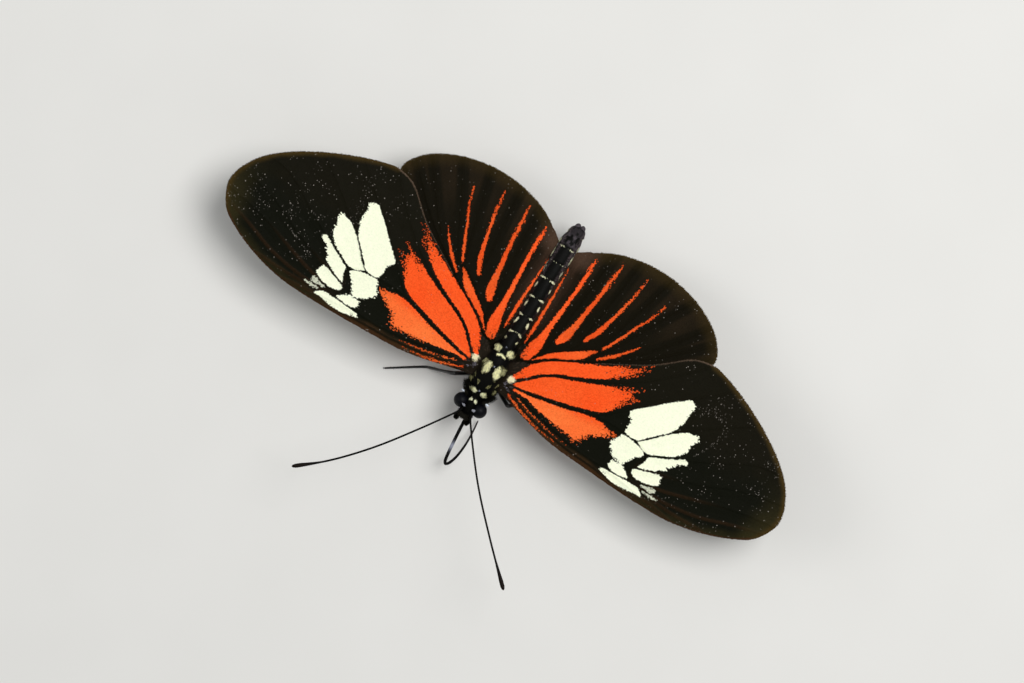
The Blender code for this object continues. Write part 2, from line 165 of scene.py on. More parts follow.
# Eyes, in the middle of the solids' domes
EYE_CENTRE = (1.28, 4.58, 6.08)
EYE_RADIUS = 0.92
EYE_HALF_HEIGHT = 1.06
EYE_ROWS = 40
EYE_SIDES = 64
EYE_FACETS = 19000

# Wing edges from the front of the root round the tip to the back of the root
FOREWING_EDGE = [
    (5.0, 2.2), (10.0, 3.35), (16.0, 3.78), (22.5, 4.0), (27.5, 3.82), (31.5, 2.95), (35.0, 1.6),
    (37.5, 0.0), (38.9, -3.1), (37.7, -6.6), (35.0, -9.4), (30.0, -12.45), (25.0, -14.5), (22.5, -15.1),
    (20.0, -14.5), (16.0, -11.3), (10.0, -7.7), (5.0, -4.9), (3.2, -3.4),
]
FOREWING_FRONT = FOREWING_EDGE[:8]
FOREWING_OUTER = FOREWING_EDGE[7:14]
FOREWING_INNER = FOREWING_EDGE[13:]
FOREWING_ROOT = (1.25, -2.1)
HINDWING_EDGE = [
    (4.5, -2.8), (8.0, -3.9), (13.0, -6.4), (18.0, -10.0), (21.6, -13.6), (22.3, -15.6),
    (21.0, -17.9), (18.0, -19.95), (14.0, -21.2), (10.0, -21.4), (6.0, -20.6), (3.6, -19.5),
]
HINDWING_OUTER = HINDWING_EDGE[4:]
HINDWING_ROOT = (-2.45, -3.5)
HINDWING_HEEL = -17.9

# Veins, each from its root or fork to the wing's edge
FOREWING_VEINS = {
    "subcosta": [(2.4, 0.7), (3.2, 1.0), (7.0, 2.05), (12.0, 2.85), (17.0, 3.15), (20.4, 3.6)],
    "radius": [(2.3, 0.1), (3.2, 0.4), (7.0, 1.15), (11.0, 1.95), (15.0, 2.4), (20.0, 2.1), (21.2, 2.1)],
    "radius_1": [(17.5, 2.4), (23.0, 3.0), (27.5, 3.6)],
    "radius_2": [(21.2, 2.1), (26.0, 2.7), (31.5, 2.6)],
    "radius_5": [(21.2, 2.1), (25.0, 2.15), (30.0, 1.45), (34.0, 0.1), (38.0, -1.1)],
    "cell_end": [(20.6, 2.1), (20.5, 1.1), (20.7, 0.1), (21.1, -0.9), (21.0, -1.75), (19.3, -2.35)],
    "media_1": [(20.5, 1.5), (24.3, 1.15), (28.0, 0.1), (33.0, -1.5), (38.7, -2.5)],
    "media_2": [(20.7, 0.3), (24.0, -0.6), (28.0, -1.9), (33.0, -4.0), (38.2, -5.2)],
    "media_3": [(21.1, -1.6), (25.3, -3.55), (29.0, -5.5), (33.0, -7.6), (36.4, -8.1)],
    "cubitus": [(2.6, -0.05), (4.3, -0.2), (8.0, -0.98), (12.0, -2.05), (14.5, -2.5), (19.3, -2.35)],
    "cubitus_1": [(19.3, -2.35), (21.9, -5.05), (26.0, -8.5), (31.0, -11.9)],
    "cubitus_2": [(13.5, -2.4), (16.4, -5.15), (20.0, -8.5), (23.6, -11.4), (26.4, -13.9)],
    "anal": [(2.5, -0.3), (3.3, -0.9), (6.0, -3.45), (9.0, -4.8), (14.0, -7.4), (18.0, -10.5),
             (22.4, -14.9)],
}
HINDWING_VEINS = {
    "subcosta": [(2.0, -2.8), (3.2, -3.0), (8.0, -5.0), (14.0, -8.7), (18.0, -11.6), (21.8, -14.9)],
    "radial": [(2.0, -3.3), (3.4, -3.7), (6.5, -5.7), (9.7, -7.7), (16.0, -12.2), (21.3, -17.2)],
    "cubitus": [(2.0, -3.5), (3.1, -4.3), (4.6, -5.8), (8.0, -8.5), (9.6, -9.4)],
    "cell_end": [(9.7, -7.9), (10.0, -8.8), (9.6, -9.4)],
    "media_1": [(9.9, -8.1), (12.0, -9.4), (14.5, -11.8), (17.5, -15.5), (19.9, -18.6)],
    "media_2": [(10.0, -8.9), (11.4, -11.0), (13.0, -14.0), (14.8, -17.3), (16.6, -20.3)],
    "media_3": [(9.6, -9.4), (10.6, -12.8), (11.8, -17.0), (12.9, -21.2)],
    "cubitus_1": [(7.2, -7.9), (7.5, -11.0), (8.1, -16.0), (8.6, -21.1)],
    "cubitus_2": [(4.2, -5.4), (4.5, -8.0), (4.9, -13.0), (5.4, -20.2)],
    "anal": [(1.8, -3.6), (2.5, -5.0), (2.7, -8.0), (2.8, -13.0), (2.7, -18.4)],
}

# Markings as outlines of left and ahead
CREAM_SPOTS = [
    [(17, 2.76), (18, 3.15), (20, 3.43), (22, 3.15), (23.15, 3), (22.4, 2.27), (21, 2.2), (19, 2.3),
     (17.5, 2.47)],
    [(17.95, 2.08), (20.7, 2), (20, 1.4), (19.3, 1), (18.5, 1), (17.8, 1.1)],
    [(19.25, 0.92), (18.3, 0.85), (17.6, 0.57), (17.1, 0.25), (16.5, -0.7), (16.95, -1.5), (17.2, -2.25),
     (19.3, -2.2), (20.8, -1.56), (20.7, -1.1), (20.3, -0.75), (19.9, -0.4), (19.5, 0.4)],
    [(20.45, 0.8), (20.7, 1.25), (21.2, 1.45), (22, 1.55), (23.6, 1.15), (24.1, 0.9), (24.3, 0.5),
     (24, -0.3), (23.7, -0.45), (22.5, -0.12), (21.6, 0.2), (20.8, 0.45)],
    [(20.75, 0.25), (21.5, 0.1), (22.5, -0.25), (23.3, -0.7), (23.9, -1.2), (24.3, -1.8), (25, -2.6),
     (25.9, -3.3), (25.5, -3.65), (24, -2.9), (22, -1.9), (21.3, -1.5), (21.3, -0.9), (20.9, -0.1)],
    [(21, -1.75), (22.4, -2.3), (23.9, -3.1), (24.7, -3.9), (25.1, -4.55), (25.1, -5), (25.4, -6.2),
     (25.3, -6.9), (24.6, -6.8), (23.6, -6.45), (22.6, -5.7), (21.9, -5.1), (21, -4.15), (20.2, -3.3),
     (19.3, -2.4), (20, -2)],
    [(19.3, -2.5), (17.5, -2.5), (17.25, -3.3), (17.3, -4), (16.6, -5), (17, -5.6), (19, -7.4), (20, -8.4),
     (21, -9.2), (22.2, -10.1), (23.05, -9.75), (23, -8.6), (22.9, -7.5), (22.3, -5.65), (21.1, -4.35),
     (20.1, -3.35)],
]
FAINT_SPOT = [(22.2, 1.75), (22.7, 1.95), (23.6, 2), (24.2, 1.85), (24.3, 1.45), (24.1, 1.3), (23.2, 1.5)]
FOREWING_ORANGE = [
    [(3.3, 0.3), (5, 0.35), (7, 0.77), (9, 1.08), (11, 1.4), (12.7, 1.8), (13.5, 1.4), (14, 0.35),
     (15.2, -0.35), (16.75, -1.55), (15.5, -1.9), (13.5, -2.1), (12, -1.8), (10, -1.2), (8, -0.77),
     (5, -0.13), (3.3, 0.05)],
    [(2.95, -0.2), (5, -0.55), (7, -1), (9, -1.5), (11, -2.05), (13, -2.68), (14.2, -3.35), (15.1, -4.4),
     (16.1, -5.9), (16.8, -6.6), (16.1, -6.9), (16.7, -8.1), (15, -7.3), (13, -6.3), (11, -5.4), (9, -4.6),
     (7, -3.78), (5.5, -2.9), (4.5, -1.9), (3.2, -0.7)],
    [(2.4, -0.8), (3.5, -1.4), (5, -2.9), (7, -4.2), (9, -5.05), (11, -6.05), (13, -7.27), (14.2, -8.2),
     (15.2, -9.3), (16.3, -10.8), (15, -10.2), (13, -9.15), (11, -8), (9, -7), (7, -6.05), (5, -4.85),
     (3.6, -3.5), (2.8, -2.1)],
]
HINDWING_ORANGE = [
    [(3.35, -3.97), (5, -5.17), (7, -6.3), (8.5, -7.3), (9.1, -8.3), (9.6, -9.1), (9, -8.9), (8, -8.2),
     (6.3, -7), (5, -6.1), (4, -4.96), (3.5, -4.3)],
    [(2.9, -3.6), (3.6, -5.4), (3.5, -8), (3.65, -11.5), (3.85, -15), (3.85, -16.5), (3.6, -18.5),
     (3.4, -17.8), (3.35, -16.5), (3.2, -13), (2.9, -10), (2.55, -7.2), (2, -5.2), (1.95, -3.6)],
]

# Markings as tapering stripes of left, ahead and half width
CREAM_STREAKS = [[(23, 2.3, 0.1), (24.2, 2.38, 0.15), (24.9, 2.3, 0.06)]]
COSTAL_STREAKS = [
    [(3.2, 1.1, 0.11), (5.7, 2.03, 0.17), (8, 2.62, 0.13), (10.8, 2.92, 0.06)],
    [(4.4, 0.84, 0.09), (6.5, 1.5, 0.11), (8.2, 1.88, 0.11), (10.5, 2.33, 0.08), (12.7, 2.58, 0.03)],
]
HINDWING_RAYS = [
    [(10, -8.24, 0.22), (11, -9.1, 0.24), (12.6, -10.8, 0.19), (13.7, -12.3, 0.08)],
    [(10, -9.7, 0.2), (10.9, -11.45, 0.2), (12, -13.9, 0.17), (13, -16, 0.14), (13.7, -18, 0.07)],
    [(7.55, -9.4, 0.3), (8.3, -10.85, 0.36), (9.1, -13.7, 0.26), (9.7, -16.4, 0.2), (10.15, -19.5, 0.09)],
    [(4.9, -7.5, 0.4), (5.3, -8.5, 0.6), (5.5, -9.5, 0.5), (5.75, -11, 0.38), (6, -13, 0.32),
     (6.2, -14.5, 0.28), (6.45, -17, 0.27), (6.6, -18.5, 0.2), (6.65, -19.6, 0.05)],
    [(1.55, -5, 0.05), (1.58, -7, 0.22), (1.52, -10, 0.24), (1.45, -13, 0.14), (1.3, -15.8, 0.05)],
]
HINGE_PATCH = [(2.2, -0.25), (2.75, -0.32), (3.05, -0.62), (2.8, -0.98), (2.2, -1.0)]
UNDERSIDE_STREAK = [(3.4, -3.3, 0.2), (6, -4.1, 0.34), (9.5, -5.7, 0.3), (12, -7.2, 0.08)]

# Worn lines on one wing each, as left and ahead
WORN_LINES = {
    1: [(25.9, -4.6), (27.0, -6.5), (27.4, -9.0)],
    -1: [(25.0, -0.1), (27.8, -1.3), (30.5, -2.3)],
}

# Pale spots of the body: left, ahead, half length across and along, tilt in degrees, strength
BODY_SPOTS = [
    (0.33, 3.9, 0.26, 0.19, 35, 1.0),
    (0.75, 2.72, 0.46, 0.3, 8, 1.0),
    (0.68, 1.62, 0.22, 0.38, 15, 0.42),
    (1.7, 1.8, 0.26, 0.36, 0, 0.45),
    (1.57, 0.9, 0.1, 0.42, 25, 0.45),
    (0.74, -0.38, 0.45, 0.88, -6, 0.92),
    (1.28, -0.85, 0.4, 0.64, 0, 0.55),
    (0.32, -2.5, 0.36, 0.13, 24, 1.0),
    (0.92, -3.14, 0.5, 0.44, 0, 0.9),
    (0.8, -4.72, 0.14, 0.22, 0, 0.7),
    (0.71, -5.68, 0.4, 0.12, 20, 0.95),
    (0.0, -5.84, 0.5, 0.05, 0, 0.3),
    (0.79, -7.2, 0.13, 0.4, -14, 1.0),
    (0.72, -8.1, 0.4, 0.09, -4, 1.0),
    (0.0, -8.16, 0.5, 0.045, 0, 0.15),
    (0.87, -9.56, 0.11, 0.38, -6, 1.0),
    (0.8, -10.63, 0.48, 0.09, 0, 1.0),
    (0.0, -10.7, 0.5, 0.04, 0, 0.15),
    (0.96, -12.1, 0.1, 0.32, -6, 0.9),
    (0.74, -13.29, 0.4, 0.095, 0, 1.0),
    (0.0, -13.35, 0.4, 0.04, 0, 0.15),
    (1.12, -14.6, 0.12, 0.85, 0, 0.4),
    (0.55, -15.6, 0.6, 0.055, 0, 0.35),
    (1.24, -16.6, 0.09, 0.75, 0, 0.7),
    (0.62, -17.73, 0.5, 0.07, 0, 0.6),
    (1.28, -18.2, 0.09, 0.42, -4, 0.75),
    (1.08, -19.6, 0.08, 0.2, 0, 0.55),
]
UNDER_SPOTS = [
    (1.0, 1.6, 0.35, 0.5, 0, 0.8),
    (1.2, -0.6, 0.4, 0.6, 0, 0.8),
    (1.0, -2.5, 0.35, 0.4, 0, 0.8),
    (0.45, -8.0, 0.12, 3.4, 0, 0.7),
    (0.5, -14.5, 0.12, 2.8, 0, 0.6),
]

# Feelers, mouthparts and legs, as points on their centre lines
ANTENNA_LEFT = [(0.6, 5.3, 6.4), (0.74, 5.62, 6.95), (1.04, 6.18, 7.5), (5.67, 11.9, 8.9), (10.4, 16.7, 9.6),
                (15.1, 21.1, 9.9)]
ANTENNA_RIGHT = [(-0.6, 5.3, 6.4), (-0.74, 5.62, 6.95), (-1.02, 6.15, 7.5), (-3.85, 10.4, 8.7),
                 (-7.2, 15.0, 9.5), (-10.9, 19.15, 9.75), (-14.2, 22.0, 9.9)]
PALP = [(0.4, 4.9, 5.1), (0.6, 5.5, 4.6), (0.72, 6.2, 4.9), (0.74, 6.5, 5.5), (0.72, 6.65, 6.1)]
PROBOSCIS = [(0.0, 5.0, 4.9), (0.2, 5.7, 4.25), (0.36, 6.6, 4.15), (0.46, 7.7, 4.25), (0.69, 10.0, 4.1),
             (0.9, 11.6, 3.65), (1.02, 12.05, 3.45), (1.2, 12.27, 3.2), (1.46, 12.08, 2.95),
             (1.72, 11.5, 2.7), (1.9, 10.8, 2.4), (2.05, 9.2, 1.8), (1.98, 7.3, 1.0), (1.8, 5.8, 0.6)]
FORELEG = [(0.6, 2.3, 4.3), (0.85, 2.9, 3.65), (0.95, 3.6, 3.55), (1.0, 4.3, 3.7), (0.95, 5.0, 4.05)]
MIDLEG_LEFT = [
    [(0.8, 0.4, 4.2), (0.98, 0.58, 3.3), (1.35, 0.85, 2.95), (2.3, 1.5, 3.6), (3.9, 2.3, 5.15)],
    [(3.9, 2.3, 5.15), (4.3, 1.95, 4.75), (5.35, 1.25, 2.8), (6.65, 0.58, 0.5)],
    [(6.65, 0.58, 0.5), (6.9, 0.5, 0.16), (8.4, 0.2, 0.13), (11.15, 0.5, 0.12)],
]
MIDLEG_RIGHT = [
    [(-0.8, 0.4, 4.2), (-0.98, 0.58, 3.3), (-1.35, 0.85, 2.95), (-2.3, 1.5, 3.6), (-3.8, 2.4, 5.15)],
    [(-3.8, 2.4, 5.15), (-4.2, 2.57, 4.75), (-5.4, 3.02, 2.8), (-6.85, 3.52, 0.5)],
    [(-6.85, 3.52, 0.5), (-7.1, 3.62, 0.16), (-9.2, 5.0, 0.13), (-11.35, 6.46, 0.12)],
]
HINDLEG_LEFT = [
    [(0.7, -1.85, 4.2), (0.88, -2.0, 3.45), (1.25, -2.35, 3.0), (2.2, -3.2, 3.5), (3.7, -4.65, 4.35)],
    [(3.7, -4.65, 4.35), (3.92, -4.95, 4.15), (4.8, -6.7, 2.5), (5.5, -8.33, 0.5)],
    [(5.5, -8.33, 0.5), (5.57, -8.55, 0.16), (6.0, -10.2, 0.13), (6.88, -12.62, 0.12)],
]
LEG_RADII = [
    [(0.0, 0.3), (0.25, 0.27), (0.6, 0.25), (0.95, 0.26), (1.0, 0.23)],
    [(0.0, 0.23), (0.06, 0.25), (0.5, 0.19), (0.93, 0.185), (1.0, 0.15)],
    [(0.0, 0.15), (0.08, 0.165), (1.0, 0.11)],
]
TARSUS_JOINTS = [0.42, 0.62, 0.76, 0.88]

# Floor, lamps as place, turn, size and power, and camera, in metres
FLOOR_REACH = 0.6
LAMPS = [
    ("lamp_above", (0.12, 0.16, 0.42), (-0.36, 0.27, 0), 0.26, 1.8),
    ("lamp_side", (-0.3, -0.1, 0.25), (0.3, -0.85, 0), 0.2, 0.35),
]
SKY_COLOUR = (0.95, 0.98, 1, 1)
SKY_STRENGTH = 0.28
LENS = 105
CAMERA_HEIGHT = 0.3666
CAMERA_TURN = math.radians(32.1)


def world(points):
    """Left, ahead and up in millimetres as world coordinates in metres."""
    points = np.asarray(points, float)
    return (points * (1, -1, 1) + (0, SHIFT, 0)) / 1000


def unit(ways):
    """The vectors, one a row, each at length 1."""
    return ways / np.linalg.norm(ways, axis=1)[:, None]


def crosswise(way):
    """Each way on the level, turned a quarter to the left."""
    return np.stack([-way[:, 1], way[:, 0]], axis=1)


def drawn(draw, count):
    """What is drawn for each scale or hair: its raggedness, its brightness and its choice."""
    return np.column_stack([draw.uniform(-1, 1, count), draw.normal(0, 0.4, count), draw.random(count)])


def rgb(red, green, blue):
    """A colour given as it looks on a screen, from 0 to 255, as linear values."""
    screen = np.array((red, green, blue)) / 255
    return np.where(screen <= 0.04045, screen / 12.92, ((screen + 0.055) / 1.055) ** 2.4)


CREAM = rgb(246, 249, 221)
CREAM_HAIR = rgb(240, 237, 184)
OLIVE_HAIR = rgb(158, 152, 92)
HINGE_CREAM = rgb(238, 226, 184)
ORANGE = rgb(243, 80, 26)
ORANGE_PALE = rgb(253, 128, 62)
ORANGE_DULL = rgb(176, 66, 18)
BLACK_FRONT = rgb(14, 15, 7)
BLACK_REAR = rgb(20, 18, 9)
BROWN_COSTA = rgb(60, 38, 20)
BROWN_APEX = rgb(46, 41, 20)
BROWN_EDGE = rgb(62, 48, 18)
PALE_EDGE = rgb(90, 74, 60)
HIND_BLACK = rgb(17, 14, 5)
# Painted sheen of the hindwing's folds between the veins
HIND_FOLD_SHEEN = rgb(38, 29, 17)
HIND_INNER = rgb(52, 37, 27)
HIND_TAIL = rgb(72, 54, 42)
DUST = rgb(168, 160, 150)
BODY_BLACK = rgb(11, 11, 9)
HAIR_BROWN = rgb(32, 25, 17)
HAIR_OLIVE = rgb(24, 22, 14)
HAIR_GREY = rgb(132, 126, 136)
FLANK_GREY = rgb(96, 85, 87)
TAIL_GREY = rgb(70, 64, 68)
# Pale blue-grey of painted highlights on the tongue and on the back
GLINT = rgb(186, 190, 208)
UNDER_BROWN = rgb(62, 48, 38)
UNDER_YELLOW = rgb(226, 205, 98)
CHEEK_WHITE = rgb(232, 238, 246)
BROW_GREY = rgb(160, 161, 170)
HORN = rgb(13, 12, 11)
HORN_GREY = rgb(48, 46, 46)
CLUB_BROWN = rgb(26, 19, 14)


def mixed(first, second, share):
    """The first colours turned towards the second by each share."""
    return first + (second - first) * np.asarray(share)[:, None]


def layered(colours, *layers):
    """The colours turned towards each layer's tone by its share, one layer after another."""
    for tone, share in layers:
        colours = mixed(colours, tone, share)
    return colours


def ramp(value, start, end):
    """Smooth step from 0 at start to 1 at end."""
    share = np.clip((value - start) / (end - start), 0, 1)
    return share * share * (3 - 2 * share)


def between_cells(values, x, y, right, above, part):
    """A map's values between four cells, by how far across and along each place lies."""
    low = values[x, y] * (1 - part[:, 0]) + values[right, y] * part[:, 0]
    high = values[x, above] * (1 - part[:, 0]) + values[right, above] * part[:, 0]
    return low * (1 - part[:, 1]) + high * part[:, 1]


def cloud(places, size, seed):
    """Smooth noise from 0 to 1, its lumps about size apart."""
    count = 128
    values = np.random.default_rng(seed).random((count, count))
    spot = places / size + 1000
    cell = np.floor(spot).astype(int)
    part = spot - cell
    part = part * part * (3 - 2 * part)
    x, y = cell.T % count
    return between_cells(values, x, y, (x + 1) % count, (y + 1) % count, part)


def smooth_line(points, fine=14):
    """A curve through the points, of any number of coordinates, in short steps."""
    knots = [np.asarray(point, float) for point in points]
    knots = [2 * knots[0] - knots[1]] + knots + [2 * knots[-1] - knots[-2]]
    line = []
    for p0, p1, p2, p3 in zip(knots, knots[1:], knots[2:], knots[3:]):
        t1 = np.linalg.norm(p1 - p0) ** 0.5
        t2 = t1 + np.linalg.norm(p2 - p1) ** 0.5
        t3 = t2 + np.linalg.norm(p3 - p2) ** 0.5
        for k in range(fine):
            t = t1 + (t2 - t1) * k / fine
            a1 = (p0 * (t1 - t) + p1 * t) / t1
            a2 = (p1 * (t2 - t) + p2 * (t - t1)) / (t2 - t1)
            a3 = (p2 * (t3 - t) + p3 * (t - t2)) / (t3 - t2)
            b1 = (a1 * (t2 - t) + a2 * t) / t2
            b2 = (a2 * (t3 - t) + a3 * (t - t1)) / (t3 - t1)
            line.append((b1 * (t2 - t) + b2 * (t - t1)) / (t2 - t1))
    line.append(knots[-2])
    return np.array(line)


def smooth_loop(points, fine=4):
    """A closed curve through the points, its first point also its last."""
    return smooth_line([points[-1]] + list(points) + list(points[:2]), fine)[fine:-fine]


def lengths_along(line):
    """Length of the line up to each of its points."""
    steps = np.linalg.norm(np.diff(line, axis=0), axis=1)
    return np.concatenate([[0.0], np.cumsum(steps)])


def at_shares(line, shares):
    """Points of the line at these shares of its length."""
    run = lengths_along(line)
    return np.stack([np.interp(np.asarray(shares) * run[-1], run, axis) for axis in line.T], axis=1)


def way_at(line, shares, span):
    """Which way the line runs at these shares of its length."""
    return at_shares(line, np.clip(shares + span, 0, 1)) - at_shares(line, np.clip(shares - span, 0, 1))


def even_points(points, step):
    """Points about a step apart on the smooth curve through the given ones, both ends included."""
    line = smooth_line(points)
    count = max(2, round(lengths_along(line)[-1] / step) + 1)
    return at_shares(line, np.linspace(0, 1, count))


BODY_LINE = smooth_line(BODY)
BODY_LINE = BODY_LINE[np.argsort(BODY_LINE[:, 0])]


def body_at(ahead):
    """Centre left, half width, centre up and half height of the body skin at each place along it."""
    return [np.interp(ahead, BODY_LINE[:, 0], BODY_LINE[:, k]) for k in range(1, 5)]


def off_piece(start, way, places):
    """Share along one straight piece, and distance from it, of each place."""
    x, y = (places - start[:2]).T
    share = np.clip((x * way[0] + y * way[1]) / max(way[:2] @ way[:2], 1e-12), 0, 1)
    return share, np.hypot(x - share * way[0], y - share * way[1])


def distance_to(line, places):
    """Distance of each place from a line of straight pieces."""
    least = np.full(len(places), np.inf)
    for start, way in zip(line[:-1], np.diff(line, axis=0)):
        least = np.minimum(least, off_piece(start, way, places)[1])
    return least


def inside(edge, places):
    """Which places lie within the closed edge."""
    x, y = places.T
    found = np.zeros(len(places), bool)
    for (x1, y1), (x2, y2) in zip(edge, np.roll(edge, -1, axis=0)):
        if y1 == y2:
            continue
        found ^= ((y1 > y) != (y2 > y)) & (x < (x2 - x1) * (y - y1) / (y2 - y1) + x1)
    return found


def depth_in_patches(outlines, places):
    """How deep each place lies inside the nearest outline, below 0 outside all of them."""
    most = np.full(len(places), -9.0)
    for outline in outlines:
        loop = smooth_loop(outline)
        low, high = loop.min(axis=0) - 0.8, loop.max(axis=0) + 0.8
        near = ((places > low) & (places < high)).all(axis=1)
        some = places[near]
        away = distance_to(loop, some)
        depth = np.where(inside(loop[:-1], some), away, -away)
        most[near] = np.maximum(most[near], depth)
    return most


def depth_in_stripes(stripes, places):
    """How deep each place lies inside the nearest tapering stripe, below 0 outside all of them."""
    most = np.full(len(places), -9.0)
    for stripe in stripes:
        line = smooth_line(stripe, 4)
        for start, way in zip(line[:-1], np.diff(line, axis=0)):
            share, away = off_piece(start, way, places)
            most = np.maximum(most, start[2] + share * way[2] - away)
    return most


def new_piece(name, points, faces, finish, tint=None, patch=None, closed=False, turned=False):
    """A mesh of triangles that rides on the body, with its colours and its bake map."""
    faces = np.asarray(faces, np.int32)
    if not turned:
        faces = faces[:, ::-1]
    mesh = bpy.data.meshes.new(name)
    mesh.vertices.add(len(points))
    mesh.vertices.foreach_set("co", world(points).astype(np.float32).ravel())
    mesh.loops.add(faces.size)
    mesh.loops.foreach_set("vertex_index", np.ascontiguousarray(faces).ravel())
    mesh.polygons.add(len(faces))
    mesh.polygons.foreach_set("loop_start", np.arange(0, faces.size, 3, dtype=np.int32))
    mesh.update(calc_edges=True)
    if closed:
        shape = bmesh.new()
        shape.from_mesh(mesh)
        bmesh.ops.recalc_face_normals(shape, faces=shape.faces)
        shape.to_mesh(mesh)
        shape.free()
    mesh.shade_smooth()
    if tint is not None:
        layer = mesh.color_attributes.new("tint", "FLOAT_COLOR", "POINT")
        colours = np.column_stack([np.clip(tint, 0, 1), np.ones(len(points))])
        layer.data.foreach_set("color", colours.astype(np.float32).ravel())
    if patch is not None:
        corners = np.empty(len(mesh.loops), np.int32)
        mesh.loops.foreach_get("vertex_index", corners)
        chart = mesh.uv_layers.new(name="OFBake")
        chart.data.foreach_set("uv", patch[corners].astype(np.float32).ravel())
    mesh.materials.append(finish)
    made = bpy.data.objects.new(name, mesh)
    bpy.context.scene.collection.objects.link(made)
    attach(made, "root")
    return made


def node_tree(name):
    """A new finish, its nodes and its shader."""
    surface = bpy.data.materials.new(name)
    surface.use_nodes = True
    tree = surface.node_tree
    return surface, tree, tree.nodes["Principled BSDF"]


def add_tones(tree, shader, value, first, second):
    """A base colour that runs from the first tone to the second with the value."""
    tones = tree.nodes.new("ShaderNodeValToRGB")
    tones.color_ramp.elements[0].color = (*first, 1)
    tones.color_ramp.elements[1].color = (*second, 1)
    tree.links.new(value, tones.inputs["Fac"])
    tree.links.new(tones.outputs["Color"], shader.inputs["Base Color"])


def add_noise(tree, scale):
    """Noise in the object's own space, scale in lumps per metre."""
    place = tree.nodes.new("ShaderNodeTexCoord")
    noise = tree.nodes.new("ShaderNodeTexNoise")
    noise.inputs["Scale"].default_value = scale
    noise.inputs["Detail"].default_value = 2.0
    tree.links.new(place.outputs["Object"], noise.inputs["Vector"])
    return noise.outputs["Fac"]


def add_range(tree, value, low, high):
    """The value from 0 to 1 stretched to run from low to high."""
    ranged = tree.nodes.new("ShaderNodeMapRange")
    ranged.inputs["To Min"].default_value = low
    ranged.inputs["To Max"].default_value = high
    tree.links.new(value, ranged.inputs["Value"])
    return ranged.outputs["Result"]


def add_bump(tree, shader, height, depth):
    """Relief of this depth in metres from a height between 0 and 1."""
    bump = tree.nodes.new("ShaderNodeBump")
    bump.inputs["Distance"].default_value = depth
    bump.inputs["Strength"].default_value = 0.6
    tree.links.new(height, bump.inputs["Height"])
    tree.links.new(bump.outputs["Normal"], shader.inputs["Normal"])


def tinted_finish(name, roughness, specular, grain, grain_size):
    """A finish that takes its colour from the piece's own tint, lightened and darkened by fine grain."""
    surface, tree, shader = node_tree(name)
    tint = tree.nodes.new("ShaderNodeAttribute")
    tint.attribute_name = "tint"
    shade = add_range(tree, add_noise(tree, 1000 / grain_size), 1 - grain, 1 + grain)
    scaled = tree.nodes.new("ShaderNodeVectorMath")
    scaled.operation = "SCALE"
    tree.links.new(tint.outputs["Color"], scaled.inputs[0])
    tree.links.new(shade, scaled.inputs["Scale"])
    tree.links.new(scaled.outputs["Vector"], shader.inputs["Base Color"])
    rough = add_range(tree, add_noise(tree, 300 / grain_size), roughness - 0.08, roughness + 0.08)
    tree.links.new(rough, shader.inputs["Roughness"])
    shader.inputs["Specular IOR Level"].default_value = specular
    add_bump(tree, shader, add_noise(tree, 2500 / grain_size), grain_size * 0.00008)
    return surface


def eye_finish():
    """Blue-black glass of small six-sided facets."""
    surface, tree, shader = node_tree("eye_facets")
    place = tree.nodes.new("ShaderNodeTexCoord")
    facets = tree.nodes.new("ShaderNodeTexVoronoi")
    facets.inputs["Scale"].default_value = EYE_FACETS
    facets.inputs["Randomness"].default_value = 0.25
    tree.links.new(place.outputs["Object"], facets.inputs["Vector"])
    add_tones(tree, shader, add_noise(tree, 900), rgb(9, 10, 15), rgb(6, 6, 10))
    tree.links.new(add_range(tree, add_noise(tree, 5000), 0.4, 0.5), shader.inputs["Roughness"])
    shader.inputs["Specular IOR Level"].default_value = 0.08
    shader.inputs["Coat Weight"].default_value = 0.02
    shader.inputs["Coat Roughness"].default_value = 0.2
    add_bump(tree, shader, facets.outputs["Distance"], 0.00002)
    return surface


WING_FINISH = tinted_finish("wing_scales", 0.66, 0.04, 0.1, 0.25)
SKIN_FINISH = tinted_finish("wing_membrane", 0.66, 0.04, 0.12, 0.2)
BODY_FINISH = tinted_finish("body_skin", 0.6, 0.06, 0.15, 0.15)
FUR_FINISH = tinted_finish("body_fur", 0.55, 0.06, 0.12, 0.2)
HORN_FINISH = tinted_finish("dark_horn", 0.3, 0.45, 0.15, 0.3)
FEELER_FINISH = tinted_finish("dark_feeler", 0.5, 0.05, 0.15, 0.2)
EYE_FINISH = eye_finish()


def wing_lift(left, ahead):
    """Height of the surface that both pairs of wings follow."""
    out = left - WING_ROOT
    return WING_UP + WING_SLOPE * out - WING_ARCH * out * out - CHORD_ARCH * (ahead - CHORD_MIDDLE) ** 2


def forewing_lift(left, ahead):
    """Height of the forewing's middle surface."""
    return wing_lift(left, ahead) + FOREWING_ABOVE


def hindwing_lift(left, ahead):
    """The hindwing bends down towards the middle of the abdomen's flank."""
    lift = wing_lift(left, ahead) - HINDWING_BELOW
    middle = body_at(np.minimum(ahead, HINDWING_ROOT[1]))[2]
    bend = np.clip((FOLD_FROM - left) / (FOLD_FROM - FOLD_TO), 0, 1) ** 2
    return lift + (middle + 0.1 - lift) * bend


def root_reach(ahead, up, side):
    """How far out the body skin reaches here, less the depth that a wing root is sunk in it."""
    centre, half_width, middle, half_height = body_at(ahead)
    lift = np.clip(np.abs(up - middle) / half_height, 0, 0.95)
    return side * centre + half_width * np.sqrt(1 - lift * lift) - ROOT_SUNK


def forewing_edge(side):
    """The forewing's outline, its root sunk in the thorax."""
    front, back = FOREWING_ROOT
    places = np.linspace(back, front, 9)
    root = np.column_stack([root_reach(places, forewing_lift(WING_ROOT, places), side), places])
    rim = even_points([root[-1]] + FOREWING_EDGE + [root[0]], SKIN_STEP)
    return np.concatenate([rim, root[1:-1]])


